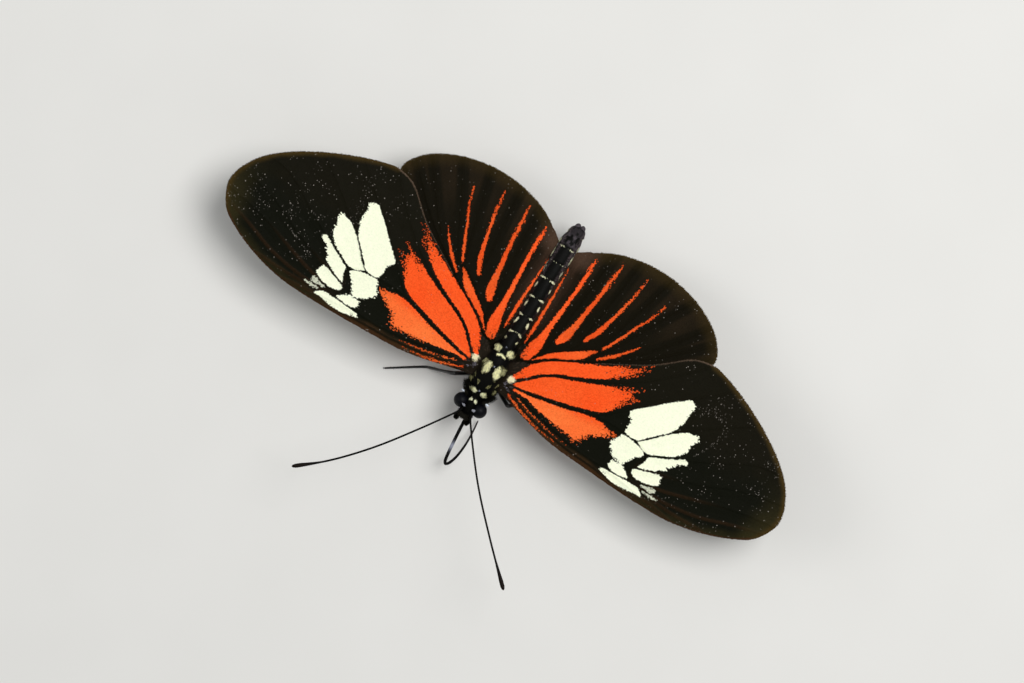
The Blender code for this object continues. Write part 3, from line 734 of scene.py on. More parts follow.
def hindwing_edge(side):
    """The inner edge follows the abdomen's flank, sunk a little in it."""
    front, back = HINDWING_ROOT
    first = (root_reach(front, hindwing_lift(2.0, front), side), front)
    centre, half_width = body_at(HINDWING_HEEL)[:2]
    heel = (side * centre + half_width - HEEL_SUNK, HINDWING_HEEL)
    rim = even_points([first] + HINDWING_EDGE + [heel], SKIN_STEP)
    places = np.arange(HINDWING_HEEL + SKIN_STEP, front - SKIN_STEP, SKIN_STEP)
    centre, half_width = body_at(places)[:2]
    inner = np.column_stack([side * centre + half_width - HEEL_SUNK, places])
    return np.concatenate([rim, inner])


def shrunk(edge, inset):
    """The edge moved inwards, apart from where it meets the body."""
    way = unit(np.roll(edge, -1, axis=0) - np.roll(edge, 1, axis=0))
    area = np.sum(edge[:, 0] * np.roll(edge[:, 1], -1) - edge[:, 1] * np.roll(edge[:, 0], -1))
    inwards = crosswise(way) * np.sign(area)
    free = (edge[:, 0] > FREE_FROM)[:, None]
    return edge + inwards * inset * free


class Wing:
    """One wing, with left counted outwards on either side, and its height looked up on a fine map."""

    def __init__(self, name, side, edge, veins, lift, colours, hub):
        self.name = name
        self.side = side
        self.edge = shrunk(edge, EDGE_INSET)
        self.lift = lift
        self.colours = colours
        self.hub = np.array(hub)
        self.slot = name[:8] + "_scales"
        self.mirror = np.array([side, 1, 1])
        self.veins = [smooth_line(points, 5) for points in veins.values()]
        self.low = self.edge.min(axis=0) - 0.5
        size = self.edge.max(axis=0) + 0.5 - self.low
        self.shape = tuple(np.ceil(size / MAP_STEP).astype(int) + 1)
        spots = np.stack(np.mgrid[0:self.shape[0], 0:self.shape[1]], axis=-1).reshape(-1, 2)
        spots = self.low + spots * MAP_STEP
        rim = distance_to(np.vstack([self.edge, self.edge[:1]]), spots)
        self.rim_map = np.where(inside(self.edge, spots), rim, -rim).reshape(self.shape)
        near = np.min([distance_to(line, spots) for line in self.veins], axis=0)
        self.vein_map = near.reshape(self.shape)

    def looked_up(self, values, places):
        """The map's value at each place, between its four nearest cells."""
        spot = np.clip((places - self.low) / MAP_STEP, 0, np.array(self.shape) - 1.001)
        cell = spot.astype(int)
        part = spot - cell
        x, y = cell.T
        return between_cells(values, x, y, x + 1, y + 1, part)

    def rim(self, places):
        return self.looked_up(self.rim_map, places)

    def vein(self, places):
        return self.looked_up(self.vein_map, places)

    def up(self, places, face):
        """Height of the upper or lower face."""
        near = self.vein(places)
        half = EDGE_HALF + (SKIN_HALF - EDGE_HALF) * ramp(self.rim(places), 0, EDGE_TAPER)
        swell = VEIN_RISE * np.exp(-((near / VEIN_WIDTH) ** 2))
        furrow = FURROW * (1 - np.exp(-((near / FURROW_WIDTH) ** 2)))
        ripple = 0.05 * (cloud(places, 2.6, 5) - 0.5)
        return self.lift(*places.T) - furrow + ripple + face * (half + swell)

    def hexagons(self, spacing, draw, least_rim):
        """Places on a shaken six-sided grid over the wing."""
        low, high = self.edge.min(axis=0), self.edge.max(axis=0)
        across = np.arange(low[0], high[0], spacing)
        along = np.arange(low[1], high[1], spacing * math.sqrt(0.75))
        x, y = np.meshgrid(across, along)
        x[::2] += spacing / 2
        places = np.column_stack([x.ravel(), y.ravel()])
        places += draw.uniform(-0.3, 0.3, places.shape) * spacing
        return places[self.rim(places) > least_rim]


def ragged_depth(depth, places, draw, spread, seed):
    """Depth shaken scale by scale and in fine streaks that point away from the body."""
    reach = np.hypot(*places.T)
    bearing = np.arctan2(places[:, 1], places[:, 0]) * 18
    streak = cloud(np.column_stack([bearing, reach / 4]), 0.2, seed) - 0.5
    return depth + spread * (0.7 * draw[:, 0] + 1.1 * streak)


def dusty(wing, places, draw):
    """Which scales carry a pale speck: in loose drifts, and along worn lines."""
    drifts = cloud(places, 1.7, 40 + wing.side) ** 4 + 0.5 * cloud(places, 0.5, 42 + wing.side) ** 6
    fore = wing.name.startswith("forewing")
    outwards = 0.25 + 0.75 * ramp(places[:, 0], 19, 26)
    specks = draw[:, 2] < (0.002 + (0.13 * outwards if fore else 0.03) * drifts)
    if fore:
        worn = distance_to(smooth_line(WORN_LINES[wing.side], 6), places) < 0.1
        specks |= worn & (draw[:, 2] < 0.3)
    return specks


def duller(colour, orange, lumps, brown, orange_brown):
    """The colours as they look on the underside."""
    dull = mixed(colour, UNDER_BROWN, np.full(len(colour), brown))
    return np.where(orange[:, None], mixed(ORANGE, UNDER_BROWN, orange_brown + 0.2 * lumps), dull)


def forewing_colours(wing, places, draw, below=False):
    """Linear colours of the forewing's scales."""
    left, ahead = places.T
    near = wing.vein(places)
    front = distance_to(smooth_line(FOREWING_FRONT, 4), places)
    outer = distance_to(smooth_line(FOREWING_OUTER, 4), places)
    inner = distance_to(smooth_line(FOREWING_INNER, 4), places)
    lumps = cloud(places, 1.4, 7)
    colour = mixed(BLACK_REAR, BLACK_FRONT, ramp(ahead + 2 * lumps, -8, -2))
    apex = ramp(outer + 1.2 * lumps, 4.5, 0.8) * ramp(ahead, -8, -2)
    band = ramp(front + 0.5 * lumps, 1.7, 0.6)
    colour = layered(
        colour,
        (BROWN_APEX, 0.8 * apex),
        (BROWN_APEX, 0.5 * band),
        (BROWN_COSTA, 0.85 * band * ramp(left, 26, 16)),
        (BLACK_FRONT, 0.8 * ramp(near, 0.2, 0.06) * ramp(front, 2.0, 1.2) * ramp(left, 22, 15)),
        (BROWN_COSTA, 0.3 * ramp(near, 0.3, 0.1) * ramp(left, 19, 24) * ramp(ahead, -1.5, 0.5)),
        (BROWN_COSTA, ramp(np.minimum(front, outer), 0.35, 0.1)),
        (BROWN_EDGE, 0.9 * ramp(outer + 0.3 * lumps, 1.0, 0.2)),
        (HAIR_BROWN, 0.8 * ramp(left, 5.5, 3.0)),
        (PALE_EDGE, 0.85 * ramp(inner, 0.24, 0.1) * ramp(left, 13, 18)),
    )
    reach = np.hypot(left - 2.5, ahead)
    crisp = 0.3 + 0.7 * ramp(near, 0.15, 0.7)
    depth = depth_in_patches(FOREWING_ORANGE, places)
    ends = ramp(reach + 3 * ramp(ahead, -1.2, 0.8), 11.5, 16.5)
    ahead_of = ramp(ahead - 0.09 * left, 0.05, 0.45) * ramp(left, 4, 8)
    loose = 0.12 + 0.6 * ends + 0.45 * ahead_of
    shaken = ragged_depth(depth - 0.04 - 0.12 * ends + 0.1 * ahead_of, places, draw, crisp * loose, 11)
    orange = shaken > 0
    orange &= draw[:, 2] > np.clip(0.55 * ends + 0.6 * ahead_of, 0, 0.7) * ramp(depth, 1.1, 0.0)
    paler = 0.52 * ramp(ahead + 0.12 * left, -0.6, 0.9) * ramp(left, 3, 5) + 0.2 * cloud(places, 3.1, 3)
    fiery = mixed(ORANGE, ORANGE_PALE, np.clip(paler + 0.1 * draw[:, 1], 0, 1))
    fiery = mixed(fiery, ORANGE_DULL, ramp(depth, 1.1, 0.0) * np.maximum(0.6 * ends, 0.6 * ahead_of))
    colour = np.where(orange[:, None], fiery, colour)
    streak = ragged_depth(depth_in_stripes(COSTAL_STREAKS, places) - 0.02, places, draw, 0.11, 12) > 0
    streak &= draw[:, 2] > 0.1 + 0.25 * ramp(left, 6, 11)
    streaked = mixed(fiery, ORANGE_DULL, 0.35 + 0.35 * ramp(left, 4, 12))
    colour = np.where(streak[:, None], streaked, colour)
    cream = ragged_depth(depth_in_patches(CREAM_SPOTS, places) - 0.06, places, draw,
                         0.04 + 0.16 * ramp(near, 0.2, 0.8), 13) > 0
    faint = np.maximum(depth_in_patches([FAINT_SPOT], places), depth_in_stripes(CREAM_STREAKS, places))
    pallid = (ragged_depth(faint, places, draw, 0.1, 16) > 0) & (draw[:, 2] > 0.08)
    hinge = ramp(depth_in_patches([HINGE_PATCH], places) + 0.1 * draw[:, 0], -0.12, 0.14)
    colour = np.where(pallid[:, None], CREAM * 0.62, colour)
    colour = np.where(cream[:, None], CREAM, colour)
    colour = mixed(colour, HINGE_CREAM, 0.95 * hinge)
    if below:
        dull = duller(colour, orange, lumps, 0.45, 0.35)
        return np.where(cream[:, None], CREAM * 0.85, dull)
    return colour


def hindwing_colours(wing, places, draw, below=False):
    """Linear colours of the hindwing's scales."""
    left, ahead = places.T
    near = wing.vein(places)
    outer = distance_to(smooth_line(HINDWING_OUTER, 4), places)
    lumps = cloud(places, 1.6, 8)
    # Painted sheen: lighter between the veins towards the outer edge, where light catches the folds
    colour = mixed(HIND_BLACK, HIND_FOLD_SHEEN, ramp(near, 0.5, 1.0) * ramp(outer, 9, 3) * (0.3 + 0.5 * lumps))
    inner = ramp(left, 3.4, 1.6) * ramp(ahead, -5, -11)
    grain = cloud(places * (6, 0.5), 1.0, 9)
    colour = layered(
        colour,
        (HIND_INNER, inner * (0.55 + 0.6 * grain)),
        (HIND_TAIL, 0.9 * ramp(left, 4.5, 2.2) * ramp(ahead, -15.5, -17.5)),
        (BROWN_EDGE, 0.35 * ramp(outer + 0.6 * lumps, 2.2, 0.4)),
        (BROWN_EDGE, 0.6 * ramp(outer, 0.3, 0.1)),
    )
    depth = np.maximum(depth_in_patches(HINDWING_ORANGE, places), depth_in_stripes(HINDWING_RAYS, places))
    spread = 0.08 + 0.12 * ramp(ahead, -13, -18)
    orange = ragged_depth(depth - 0.05, places, draw, spread, 14) > 0
    fiery = mixed(ORANGE, ORANGE_PALE, np.clip(0.35 * cloud(places, 2.6, 4) + 0.1 * draw[:, 1], 0, 1))
    dulled = 0.3 * ramp(left, 4.2, 5.2) * ramp(ahead, -7.6, -8.6) + 0.3 * ramp(depth, 0.2, 0.0)
    fiery = mixed(fiery, ORANGE_DULL, dulled)
    colour = np.where(orange[:, None], fiery, colour)
    if below:
        dull = duller(colour, orange, lumps, 0.5, 0.45)
        yellow = ragged_depth(depth_in_stripes([UNDERSIDE_STREAK], places), places, draw, 0.12, 15) > 0
        return np.where(yellow[:, None], UNDER_YELLOW, dull)
    return colour


def calm(count):
    """Draws for a smooth skin, on which no single scale stands out."""
    return np.column_stack([np.zeros(count), np.zeros(count), np.ones(count)])


def wing_skin(wing):
    """A thin closed skin with raised veins, coloured on both faces as its scales are."""
    places = [tuple(p) for p in wing.edge]
    count = len(places)
    ties = [(k, (k + 1) % count) for k in range(count)]
    lines = []
    for line in wing.veins:
        centre = at_shares(line, np.linspace(0, 1, max(3, round(lengths_along(line)[-1] / SKIN_STEP))))
        beside = crosswise(unit(np.gradient(centre, axis=0))) * VEIN_WIDTH
        lines += [centre, centre + beside, centre - beside]
    for line in lines:
        kept = line[wing.rim(line) > VEIN_RIM]
        first = len(places)
        places += [tuple(p) for p in kept]
        far = np.linalg.norm(np.diff(kept, axis=0), axis=1) > 2 * SKIN_STEP
        ties += [(first + k, first + k + 1) for k in range(len(kept) - 1) if not far[k]]
    draw = np.random.default_rng(21)
    grid = wing.hexagons(SKIN_STEP, draw, GRID_RIM)
    grid = grid[wing.vein(grid) > 1.5 * VEIN_WIDTH]
    places += [tuple(p) for p in grid]
    flat, _, faces, _, _, _ = delaunay_2d_cdt(places, ties, [list(range(count))], 1, WELD, True)
    flat = np.array([tuple(p) for p in flat])
    faces = np.array([list(f) for f in faces])
    faces = faces[inside(wing.edge, flat[faces].mean(axis=1))]
    edges = np.concatenate([faces[:, [0, 1]], faces[:, [1, 2]], faces[:, [2, 0]]])
    names = edges[:, 0] * len(flat) + edges[:, 1]
    backs = edges[:, 1] * len(flat) + edges[:, 0]
    rim = edges[~np.isin(names, backs)]
    total = len(flat)
    points = np.concatenate([np.column_stack([flat, wing.up(flat, face)]) for face in (1, -1)])
    points[:, 0] *= wing.side
    faces = np.concatenate([
        faces,
        faces[:, ::-1] + total,
        np.column_stack([rim[:, 1], rim[:, 0], rim[:, 0] + total]),
        np.column_stack([rim[:, 1], rim[:, 0] + total, rim[:, 1] + total]),
    ])
    above = wing.colours(wing, flat, calm(total))
    under = wing.colours(wing, flat, calm(total), below=True)
    skin = new_piece(wing.name + "_skin", points, faces, SKIN_FINISH,
                     tint=np.concatenate([above, under]), closed=True)
    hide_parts(wing.name)


# One scale from foot to tip, as shares of length, width and lift, with its faces and its painted shading,
# darker at the foot and lighter at the tip
SCALE_SHAPE = np.array([
    (0, 0, 0), (0.4, -0.5, 0.5), (0.4, 0.5, 0.5), (0.88, -0.4, 1), (0.88, 0.4, 1), (1, 0, 1),
])
SCALE_FACES = np.array([(0, 1, 2), (1, 3, 2), (3, 4, 2), (3, 5, 4)])
SCALE_SHADE = np.array([0.78, 0.93, 0.93, 1.05, 1.05, 1.1])


def repeated(faces, corners, count):
    """The faces of one small shape for each of its copies."""
    first = np.arange(count) * corners
    return (faces[None] + first[:, None, None]).reshape(-1, 3)


def wing_scales(wing, face, sizes, seed):
    """Overlapping scales over one face, each pointing away from the wing's hub."""
    spacing, length, width = sizes
    draw = np.random.default_rng(seed)
    places = wing.hexagons(spacing, draw, SCALE_RIM)
    count = len(places)
    turn = draw.normal(0, SCALE_TURN, count)
    way = unit(places - wing.hub)
    cos, sin = np.cos(turn), np.sin(turn)
    way = np.stack([way[:, 0] * cos - way[:, 1] * sin, way[:, 0] * sin + way[:, 1] * cos], axis=1)
    beside = crosswise(way)
    base = wing.up(places, face)
    climb = (wing.up(places + SLOPE_STEP * way, face) - base) / SLOPE_STEP
    bank = (wing.up(places + SLOPE_STEP * beside, face) - base) / SLOPE_STEP
    along = np.column_stack([way, climb])
    across = np.column_stack([beside, bank])
    size = draw.uniform(0.82, 1.18, count)
    size *= 0.45 + 0.55 * ramp(wing.rim(places + length * way), -0.15, 0.05)
    size = size[:, None, None]
    tilt = draw.normal(0, SCALE_TILT, count)[:, None, None]
    root = np.column_stack([places, base])
    shape = SCALE_SHAPE[None]
    points = root[:, None] + along[:, None] * length * size * shape[..., :1]
    points = points + across[:, None] * width * size * shape[..., 1:2]
    lift = SCALE_FOOT + (SCALE_TIP - SCALE_FOOT) * shape[..., 2:] + tilt * shape[..., 1:2]
    points[..., 2:] += face * lift
    points[..., 0] *= wing.side
    draws = drawn(draw, count)
    seen = places + SCALE_REACH * length * way
    colour = wing.colours(wing, seen, draws, below=face < 0)
    pale = colour[:, 1:2] > 0.6
    colour = colour * (1 + np.where(pale, 0.05, 0.14) * draws[:, 1:2])
    # Painted shading: each scale darker at its foot and lighter at its tip, less so on pale scales
    tint = colour[:, None] * np.where(pale, 0.5 + 0.5 * SCALE_SHADE, SCALE_SHADE)[:, :, None]
    if face > 0:
        specks = dusty(wing, seen, draws) & ~pale[:, 0]
        bright = (0.1 + 0.8 * draw.random(count) ** 3)[:, None, None]
        tips = tint[:, 3:]
        tint[:, 3:] = np.where(specks[:, None, None], tips + (DUST - tips) * bright, tips)
    tint = tint.reshape(-1, 3)
    span = (wing.edge.max(axis=0) - wing.edge.min(axis=0)).max() * 1.02
    chart = (places - wing.edge.min(axis=0)) / span + 0.004
    patch = chart[:, None] + PATCH_HALF * shape[..., :2]
    name = wing.name + ("_scales_above" if face > 0 else "_scales_below")
    new_piece(name, points.reshape(-1, 3), repeated(SCALE_FACES, 6, count), WING_FINISH,
              tint=tint, patch=patch.reshape(-1, 2), turned=wing.side * face < 0)


BLADE_FACES = np.array([(0, 1, 2), (1, 3, 2), (2, 3, 4)])


def blades(name, roots, ways, outs, lengths, widths, curl, colours, charts):
    """Short flat hairs, each a tapering strip that bends back towards the skin."""
    ways = unit(ways)
    across = unit(np.cross(outs, ways))
    reach, width = lengths[:, None], widths[:, None]
    middle = roots + 0.55 * reach * ways
    tip = roots + reach * ways - outs * (curl * lengths)[:, None]
    points = np.stack([
        roots - 0.5 * width * across,
        roots + 0.5 * width * across,
        middle - 0.42 * width * across,
        middle + 0.42 * width * across,
        tip,
    ], axis=1)
    # Painted shading: each hair darker at its root by the skin and lighter at its tip
    shade = np.array([0.8, 0.8, 1.0, 1.0, 1.1])
    tint = (colours[:, None] * shade[None, :, None]).reshape(-1, 3)
    corner = np.array([(-1, -1), (1, -1), (-1, 0), (1, 0), (0, 1)]) * PATCH_HALF
    patch = (charts[:, None] + corner[None]).reshape(-1, 2)
    faces = repeated(BLADE_FACES, 5, len(roots))
    new_piece(name, points.reshape(-1, 3), faces, FUR_FINISH, tint=tint, patch=patch)


def wing_fringe(wing, stretch, length, colour, seed):
    """A row of fine hairs along a stretch of the wing's edge."""
    draw = np.random.default_rng(seed)
    line = smooth_line(stretch, 20)
    count = round(lengths_along(line)[-1] / FRINGE_STEP)
    shares = np.sort(draw.random(count))
    roots = at_shares(line, shares)
    way = way_at(line, shares, 0.002)
    outwards = unit(crosswise(way))
    outwards += draw.normal(0, 0.25, (count, 2))
    roots = roots - FRINGE_SUNK * outwards
    up = wing.lift(*roots.T) - FURROW * (1 - np.exp(-((wing.vein(roots) / FURROW_WIDTH) ** 2)))
    points = np.column_stack([roots, up + draw.uniform(-0.03, 0.03, count)])
    ways = np.column_stack([outwards, draw.normal(-0.05, 0.15, count)])
    sizes = length * draw.uniform(0.7, 1.15, count)
    colours = colour[None] * draw.uniform(0.7, 1.25, (count, 1))
    charts = np.column_stack([0.02 + 0.96 * shares, np.full(count, 0.5)])
    name = wing.name + "_fringe_" + str(seed)
    blades(name, points * wing.mirror, ways * wing.mirror, np.tile(UPWARDS, (count, 1)), sizes,
           np.full(count, HAIR_WIDTH), 0.1, colours, charts)


def body_spot_strength(left, ahead, spots, draw, seed):
    """How pale the spots make the body at each place."""
    most = np.zeros(len(left))
    rough = 0.4 * (cloud(np.column_stack([left, ahead]), 0.2, seed) - 0.5)
    for spot_left, spot_ahead, across, along, tilt, strength in spots:
        angle = math.radians(tilt)
        x, y = np.abs(left) - spot_left, ahead - spot_ahead
        u = (x * math.cos(angle) + y * math.sin(angle)) / across
        v = (y * math.cos(angle) - x * math.sin(angle)) / along
        edge = np.hypot(u, v) + 0.14 * draw[:, 0] + rough
        most = np.maximum(most, strength * (1.05 - 0.2 * edge) * ramp(edge, 1.1, 0.9 * strength))
    return most


def body_colours(left, ahead, top, draw):
    """Linear colours of the body. top runs from 1 on the back to -1 below."""
    centre = body_at(ahead)[0]
    mottle = cloud(np.column_stack([left, ahead]), 0.45, 33)
    out = np.abs(left - centre)
    greyed = ramp(mottle + 0.15 * draw[:, 1], 0.35, 0.7) * ramp(ahead, -17.8, -18.3)
    greyed *= 1 - 0.9 * np.exp(-(((out - 0.85) / 0.25) ** 2) - ((ahead + 18.45) / 0.25) ** 2)
    greyed *= 1 - 0.6 * ramp(ahead, -19.2, -19.8)
    colour = mixed(BODY_BLACK, TAIL_GREY, greyed)
    flank = ramp(ahead, -3.9, -4.6) * ramp(out, 0.6, 0.95) * (0.35 + 0.65 * ramp(ahead, -11, -14))
    colour = mixed(colour, FLANK_GREY, np.where(draw[:, 1] > 0.1, 0.85, 0.1) * flank)
    brown = ramp(np.abs(left), 1.0, 1.7) * ramp(ahead, -4.2, -3.4)
    colour = mixed(colour, mixed(HAIR_BROWN, HAIR_OLIVE, ramp(ahead, 0.0, 1.6)), 0.8 * brown)
    pale = np.where(top > -0.05, body_spot_strength(left - centre, ahead, BODY_SPOTS, draw, 31), 0)
    pale_below = np.where(top < -0.25, body_spot_strength(left - centre, ahead, UNDER_SPOTS, draw, 32), 0)
    pale = np.maximum(pale, pale_below)
    whiter = ramp(ahead, 2.0, 3.5)
    hair = mixed(CREAM_HAIR, CREAM, 0.6 * whiter + 0.4 * ramp(ahead, -4, -7))
    hair = mixed(hair, OLIVE_HAIR, 0.8 * ramp(pale, 0.85, 0.3) * ramp(ahead, -4.2, -3.6) * (1 - whiter))
    chosen = np.where(draw[:, 2] < pale, 0.8 + 0.2 * pale, np.where(draw[:, 2] < 1, 0.1, 0.5) * pale)
    return mixed(colour, hair, np.clip(chosen, 0, 1))


def segment_dip(ahead):
    """The abdomen narrows in a fine groove behind each segment."""
    dip = np.zeros(len(ahead))
    for end in SEGMENT_ENDS:
        behind = ahead - (end + 0.12)
        dip += GROOVE * np.exp(-((behind / np.where(behind < 0, 0.16, 0.5)) ** 2))
    return dip


def ring_faces(count, sides):
    """Triangles over rings of points in a row, and over the two end points that follow them."""
    ring = np.arange(sides)
    after = (ring + 1) % sides
    faces = []
    for first in range(0, (count - 1) * sides, sides):
        second = first + sides
        faces.append(np.column_stack([first + ring, first + after, second + ring]))
        faces.append(np.column_stack([first + after, second + after, second + ring]))
    total = count * sides
    last = total - sides
    faces.append(np.column_stack([ring, after, np.full(sides, total)]))
    faces.append(np.column_stack([last + ring, last + after, np.full(sides, total + 1)]))
    return np.concatenate(faces)


def body_point(ahead, turn):
    """A point of the body skin. turn is 0 on the left flank and a quarter on the back."""
    centre, half_width, middle, half_height = body_at(ahead)
    shrink = 1 - segment_dip(ahead)
    keel = 1 + 0.04 * np.cos(4 * turn) * ramp(ahead, -4, -1)
    return np.column_stack([
        centre + half_width * shrink * keel * np.cos(turn),
        ahead,
        middle + half_height * shrink * keel * np.sin(turn),
    ])


def body_skin():
    """One skin over head, thorax and abdomen."""
    places = np.append(np.arange(BODY[0][0] - 0.005, BODY[-1][0], -BODY_STEP), BODY[-1][0])
    ahead = np.repeat(places, BODY_SIDES)
    turn = np.tile(2 * math.pi * np.arange(BODY_SIDES) / BODY_SIDES, len(places))
    points = body_point(ahead, turn)
    ends = np.array([points[:BODY_SIDES].mean(axis=0), points[-BODY_SIDES:].mean(axis=0)])
    points = np.concatenate([points, ends])
    ahead = np.append(ahead, ends[:, 1])
    turn = np.append(turn, [0, 0])
    tint = body_colours(points[:, 0], ahead, np.sin(turn), calm(len(points))) * 0.8
    shapes = [(points, ring_faces(len(places), BODY_SIDES), tint)]
    for claspers in CLASPERS:
        (lobe, lobe_faces), _ = tube(claspers, CLASPER_RADII, 20, 0.1)
        shapes.append((lobe, lobe_faces, TAIL_GREY))
    points, faces, tint = joined(shapes)
    skin = new_piece("body_skin", points, faces, BODY_FINISH, tint=tint, closed=True)
    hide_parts("head", "thorax", "abdomen")


# Fur by stretch of the body: from, to, hairs, length, width, rise and how far up the sides it goes
FUR = {
    "head": (6.05, 3.35, 9000, 0.32, 0.05, 0.7, 1.1),
    "collar": (3.95, 2.4, 6500, 0.72, 0.06, 1.5, 0.8),
    "thorax": (3.35, -3.7, 25000, 0.36, 0.062, 0.45, 1.1),
    "shoulders": (2.6, -3.9, 5000, 0.6, 0.06, 0.8, 0.55),
    "abdomen": (-3.7, -20.6, 27000, 0.23, 0.07, 0.16, 1.1),
}


def skin_ways(ahead, turn):
    """Unit directions tailwards along the body skin and straight out of it."""
    roots = body_point(ahead, turn)
    tail = unit(body_point(ahead - 0.05, turn) - roots)
    outs = unit(np.cross(body_point(ahead, turn + 0.05) - roots, tail))
    outs *= np.sign(outs[:, 0] * np.cos(turn) + outs[:, 2] * np.sin(turn))[:, None]
    return roots, tail, outs


def body_fur(name, start, end, count, length, width, rise, top, seed):
    """Hairs rooted all round one stretch of the body, lying towards the tail."""
    draw = np.random.default_rng(seed)
    rows = np.linspace(end, start, 400)
    girth = body_at(rows)[1] + body_at(rows)[3]
    chance = np.cumsum(girth)
    ahead = np.interp(draw.random(count) * chance[-1], chance, rows)
    turn = draw.random(count) * 2 * math.pi
    kept = np.sin(turn) < top
    ahead, turn = ahead[kept], turn[kept]
    count = len(turn)
    roots, tail, outs = skin_ways(ahead, turn)
    side = np.cross(tail, outs)
    flank = 1 - np.abs(np.sin(turn))
    lengths = length * draw.uniform(0.7, 1.3, count) * (1 + 0.4 * flank)
    fluffy = np.exp(-(((ahead - FLUFF_AT) / FLUFF_WIDTH) ** 2))
    lengths *= 1 + 0.5 * fluffy
    lean = rise * draw.uniform(0.5, 1.5, count) * (1 + 0.6 * fluffy)
    ways = unit(tail + side * draw.normal(0, 0.28, count)[:, None] + outs * lean[:, None])
    seen = roots + SCALE_REACH * lengths[:, None] * ways
    draws = drawn(draw, count)
    colours = body_colours(seen[:, 0], seen[:, 1], np.sin(turn), draws)
    paleness = np.clip(colours[:, 1] / CREAM[1], 0, 1)
    colours = colours * (1 + 0.2 * draws[:, 1:2])
    chart = 0.01 + 0.98 * np.column_stack([turn / (2 * math.pi), (start - ahead) / (start - end)])
    widths = width * draw.uniform(0.7, 1.3, count) * (1 + 0.4 * paleness)
    blades("fur_" + name, roots, ways, outs, lengths, widths, 0.22, colours, chart)


def tufts(name, side, middle, spread, way, count, length, colour, seed):
    """A loose tuft of hairs round one place."""
    draw = np.random.default_rng(seed)
    roots = np.array(middle) + draw.normal(0, 1, (count, 3)) * spread
    ways = np.array(way) + draw.normal(0, 0.25, (count, 3))
    mirror = np.array([side, 1, 1])
    colours = colour[None] * draw.uniform(0.6, 1.1, (count, 1))
    chart = np.clip(0.5 + 0.15 * (roots - middle)[:, :2] / np.array(spread)[:2], 0.02, 0.98)
    sizes = length * draw.uniform(0.7, 1.3, count)
    blades(name, roots * mirror, ways * mirror, np.tile(UPWARDS, (count, 1)), sizes,
           np.full(count, TUFT_WIDTH), 0.15, colours, chart)


def tube(line, radii, sides=12, step=0.12):
    """A round bar with domed ends along a smooth curve. radii holds shares of its length and radii there."""
    curve = smooth_line(line)
    length = lengths_along(curve)[-1]
    count = max(3, round(length / step))
    stops = np.linspace(0, 1, count + 1)
    shares = [share for share, _ in radii]
    sizes = [size for _, size in radii]
    first, last = sizes[0] / length, sizes[-1] / length
    dome = np.array([0.02, 0.15, 0.4, 0.75])
    stops = stops[(stops > first) & (stops < 1 - last)]
    stops = np.concatenate([dome * first, stops, 1 - dome[::-1] * last])
    radius = np.interp(stops, shares, sizes)
    radius *= np.sqrt(np.clip(1 - (1 - np.clip(stops / first, 0, 1)) ** 2, 0, 1))
    radius *= np.sqrt(np.clip(1 - (1 - np.clip((1 - stops) / last, 0, 1)) ** 2, 0, 1))
    return ring_body(curve, stops, radius, sides), stops


def ring_body(curve, stops, radius, sides):
    """Points and triangles of a closed body of round rings along a curve."""
    centres = at_shares(curve, stops)
    ways = unit(way_at(curve, stops, 0.004))
    across = np.cross(ways[0], UPWARDS)
    turns = 2 * math.pi * np.arange(sides) / sides
    rings = []
    for centre, way, size in zip(centres, ways, radius):
        across = across - way * (across @ way)
        across /= np.linalg.norm(across)
        up = np.cross(across, way)
        rings.append(centre + size * (np.outer(np.cos(turns), across) + np.outer(np.sin(turns), up)))
    points = np.concatenate(rings + [[centres[0], centres[-1]]])
    return points, ring_faces(len(rings), sides)


def joined(shapes):
    """Several (points, faces, tint) as one."""
    first = 0
    points, faces, tints = [], [], []
    for some_points, some_faces, tint in shapes:
        points.append(some_points)
        faces.append(some_faces + first)
        tints.append(np.broadcast_to(tint, (len(some_points), 3)))
        first += len(some_points)
    return np.concatenate(points), np.concatenate(faces), np.concatenate(tints)


def mirrored(points):
    """The points on the other side of the body."""
    return [(-p[0],) + tuple(p[1:]) for p in points]


def per_ring(values, sides):
    """One colour for each ring of a body, and for its two end points."""
    return np.concatenate([np.repeat(values, sides, axis=0), values[:1], values[-1:]])


def eyes():
    """A domed eye on each side of the head."""
    turns = 2 * math.pi * np.arange(EYE_SIDES) / EYE_SIDES
    for suffix, side in SIDES:
        rings = []
        for slope in np.linspace(-math.pi / 2 + 0.03, math.pi / 2 - 0.03, EYE_ROWS):
            rings.append(np.column_stack([
                np.full(EYE_SIDES, side * (EYE_CENTRE[0] + EYE_RADIUS * math.sin(slope))),
                EYE_CENTRE[1] + EYE_RADIUS * math.cos(slope) * np.cos(turns),
                EYE_CENTRE[2] + EYE_HALF_HEIGHT * math.cos(slope) * np.sin(turns),
            ]))
        ends = [rings[0].mean(axis=0), rings[-1].mean(axis=0)]
        ball = new_piece("eye_" + suffix + "_facets", np.concatenate(rings + [ends]),
                         ring_faces(EYE_ROWS, EYE_SIDES), EYE_FINISH, closed=True)
        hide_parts("eye_" + suffix)


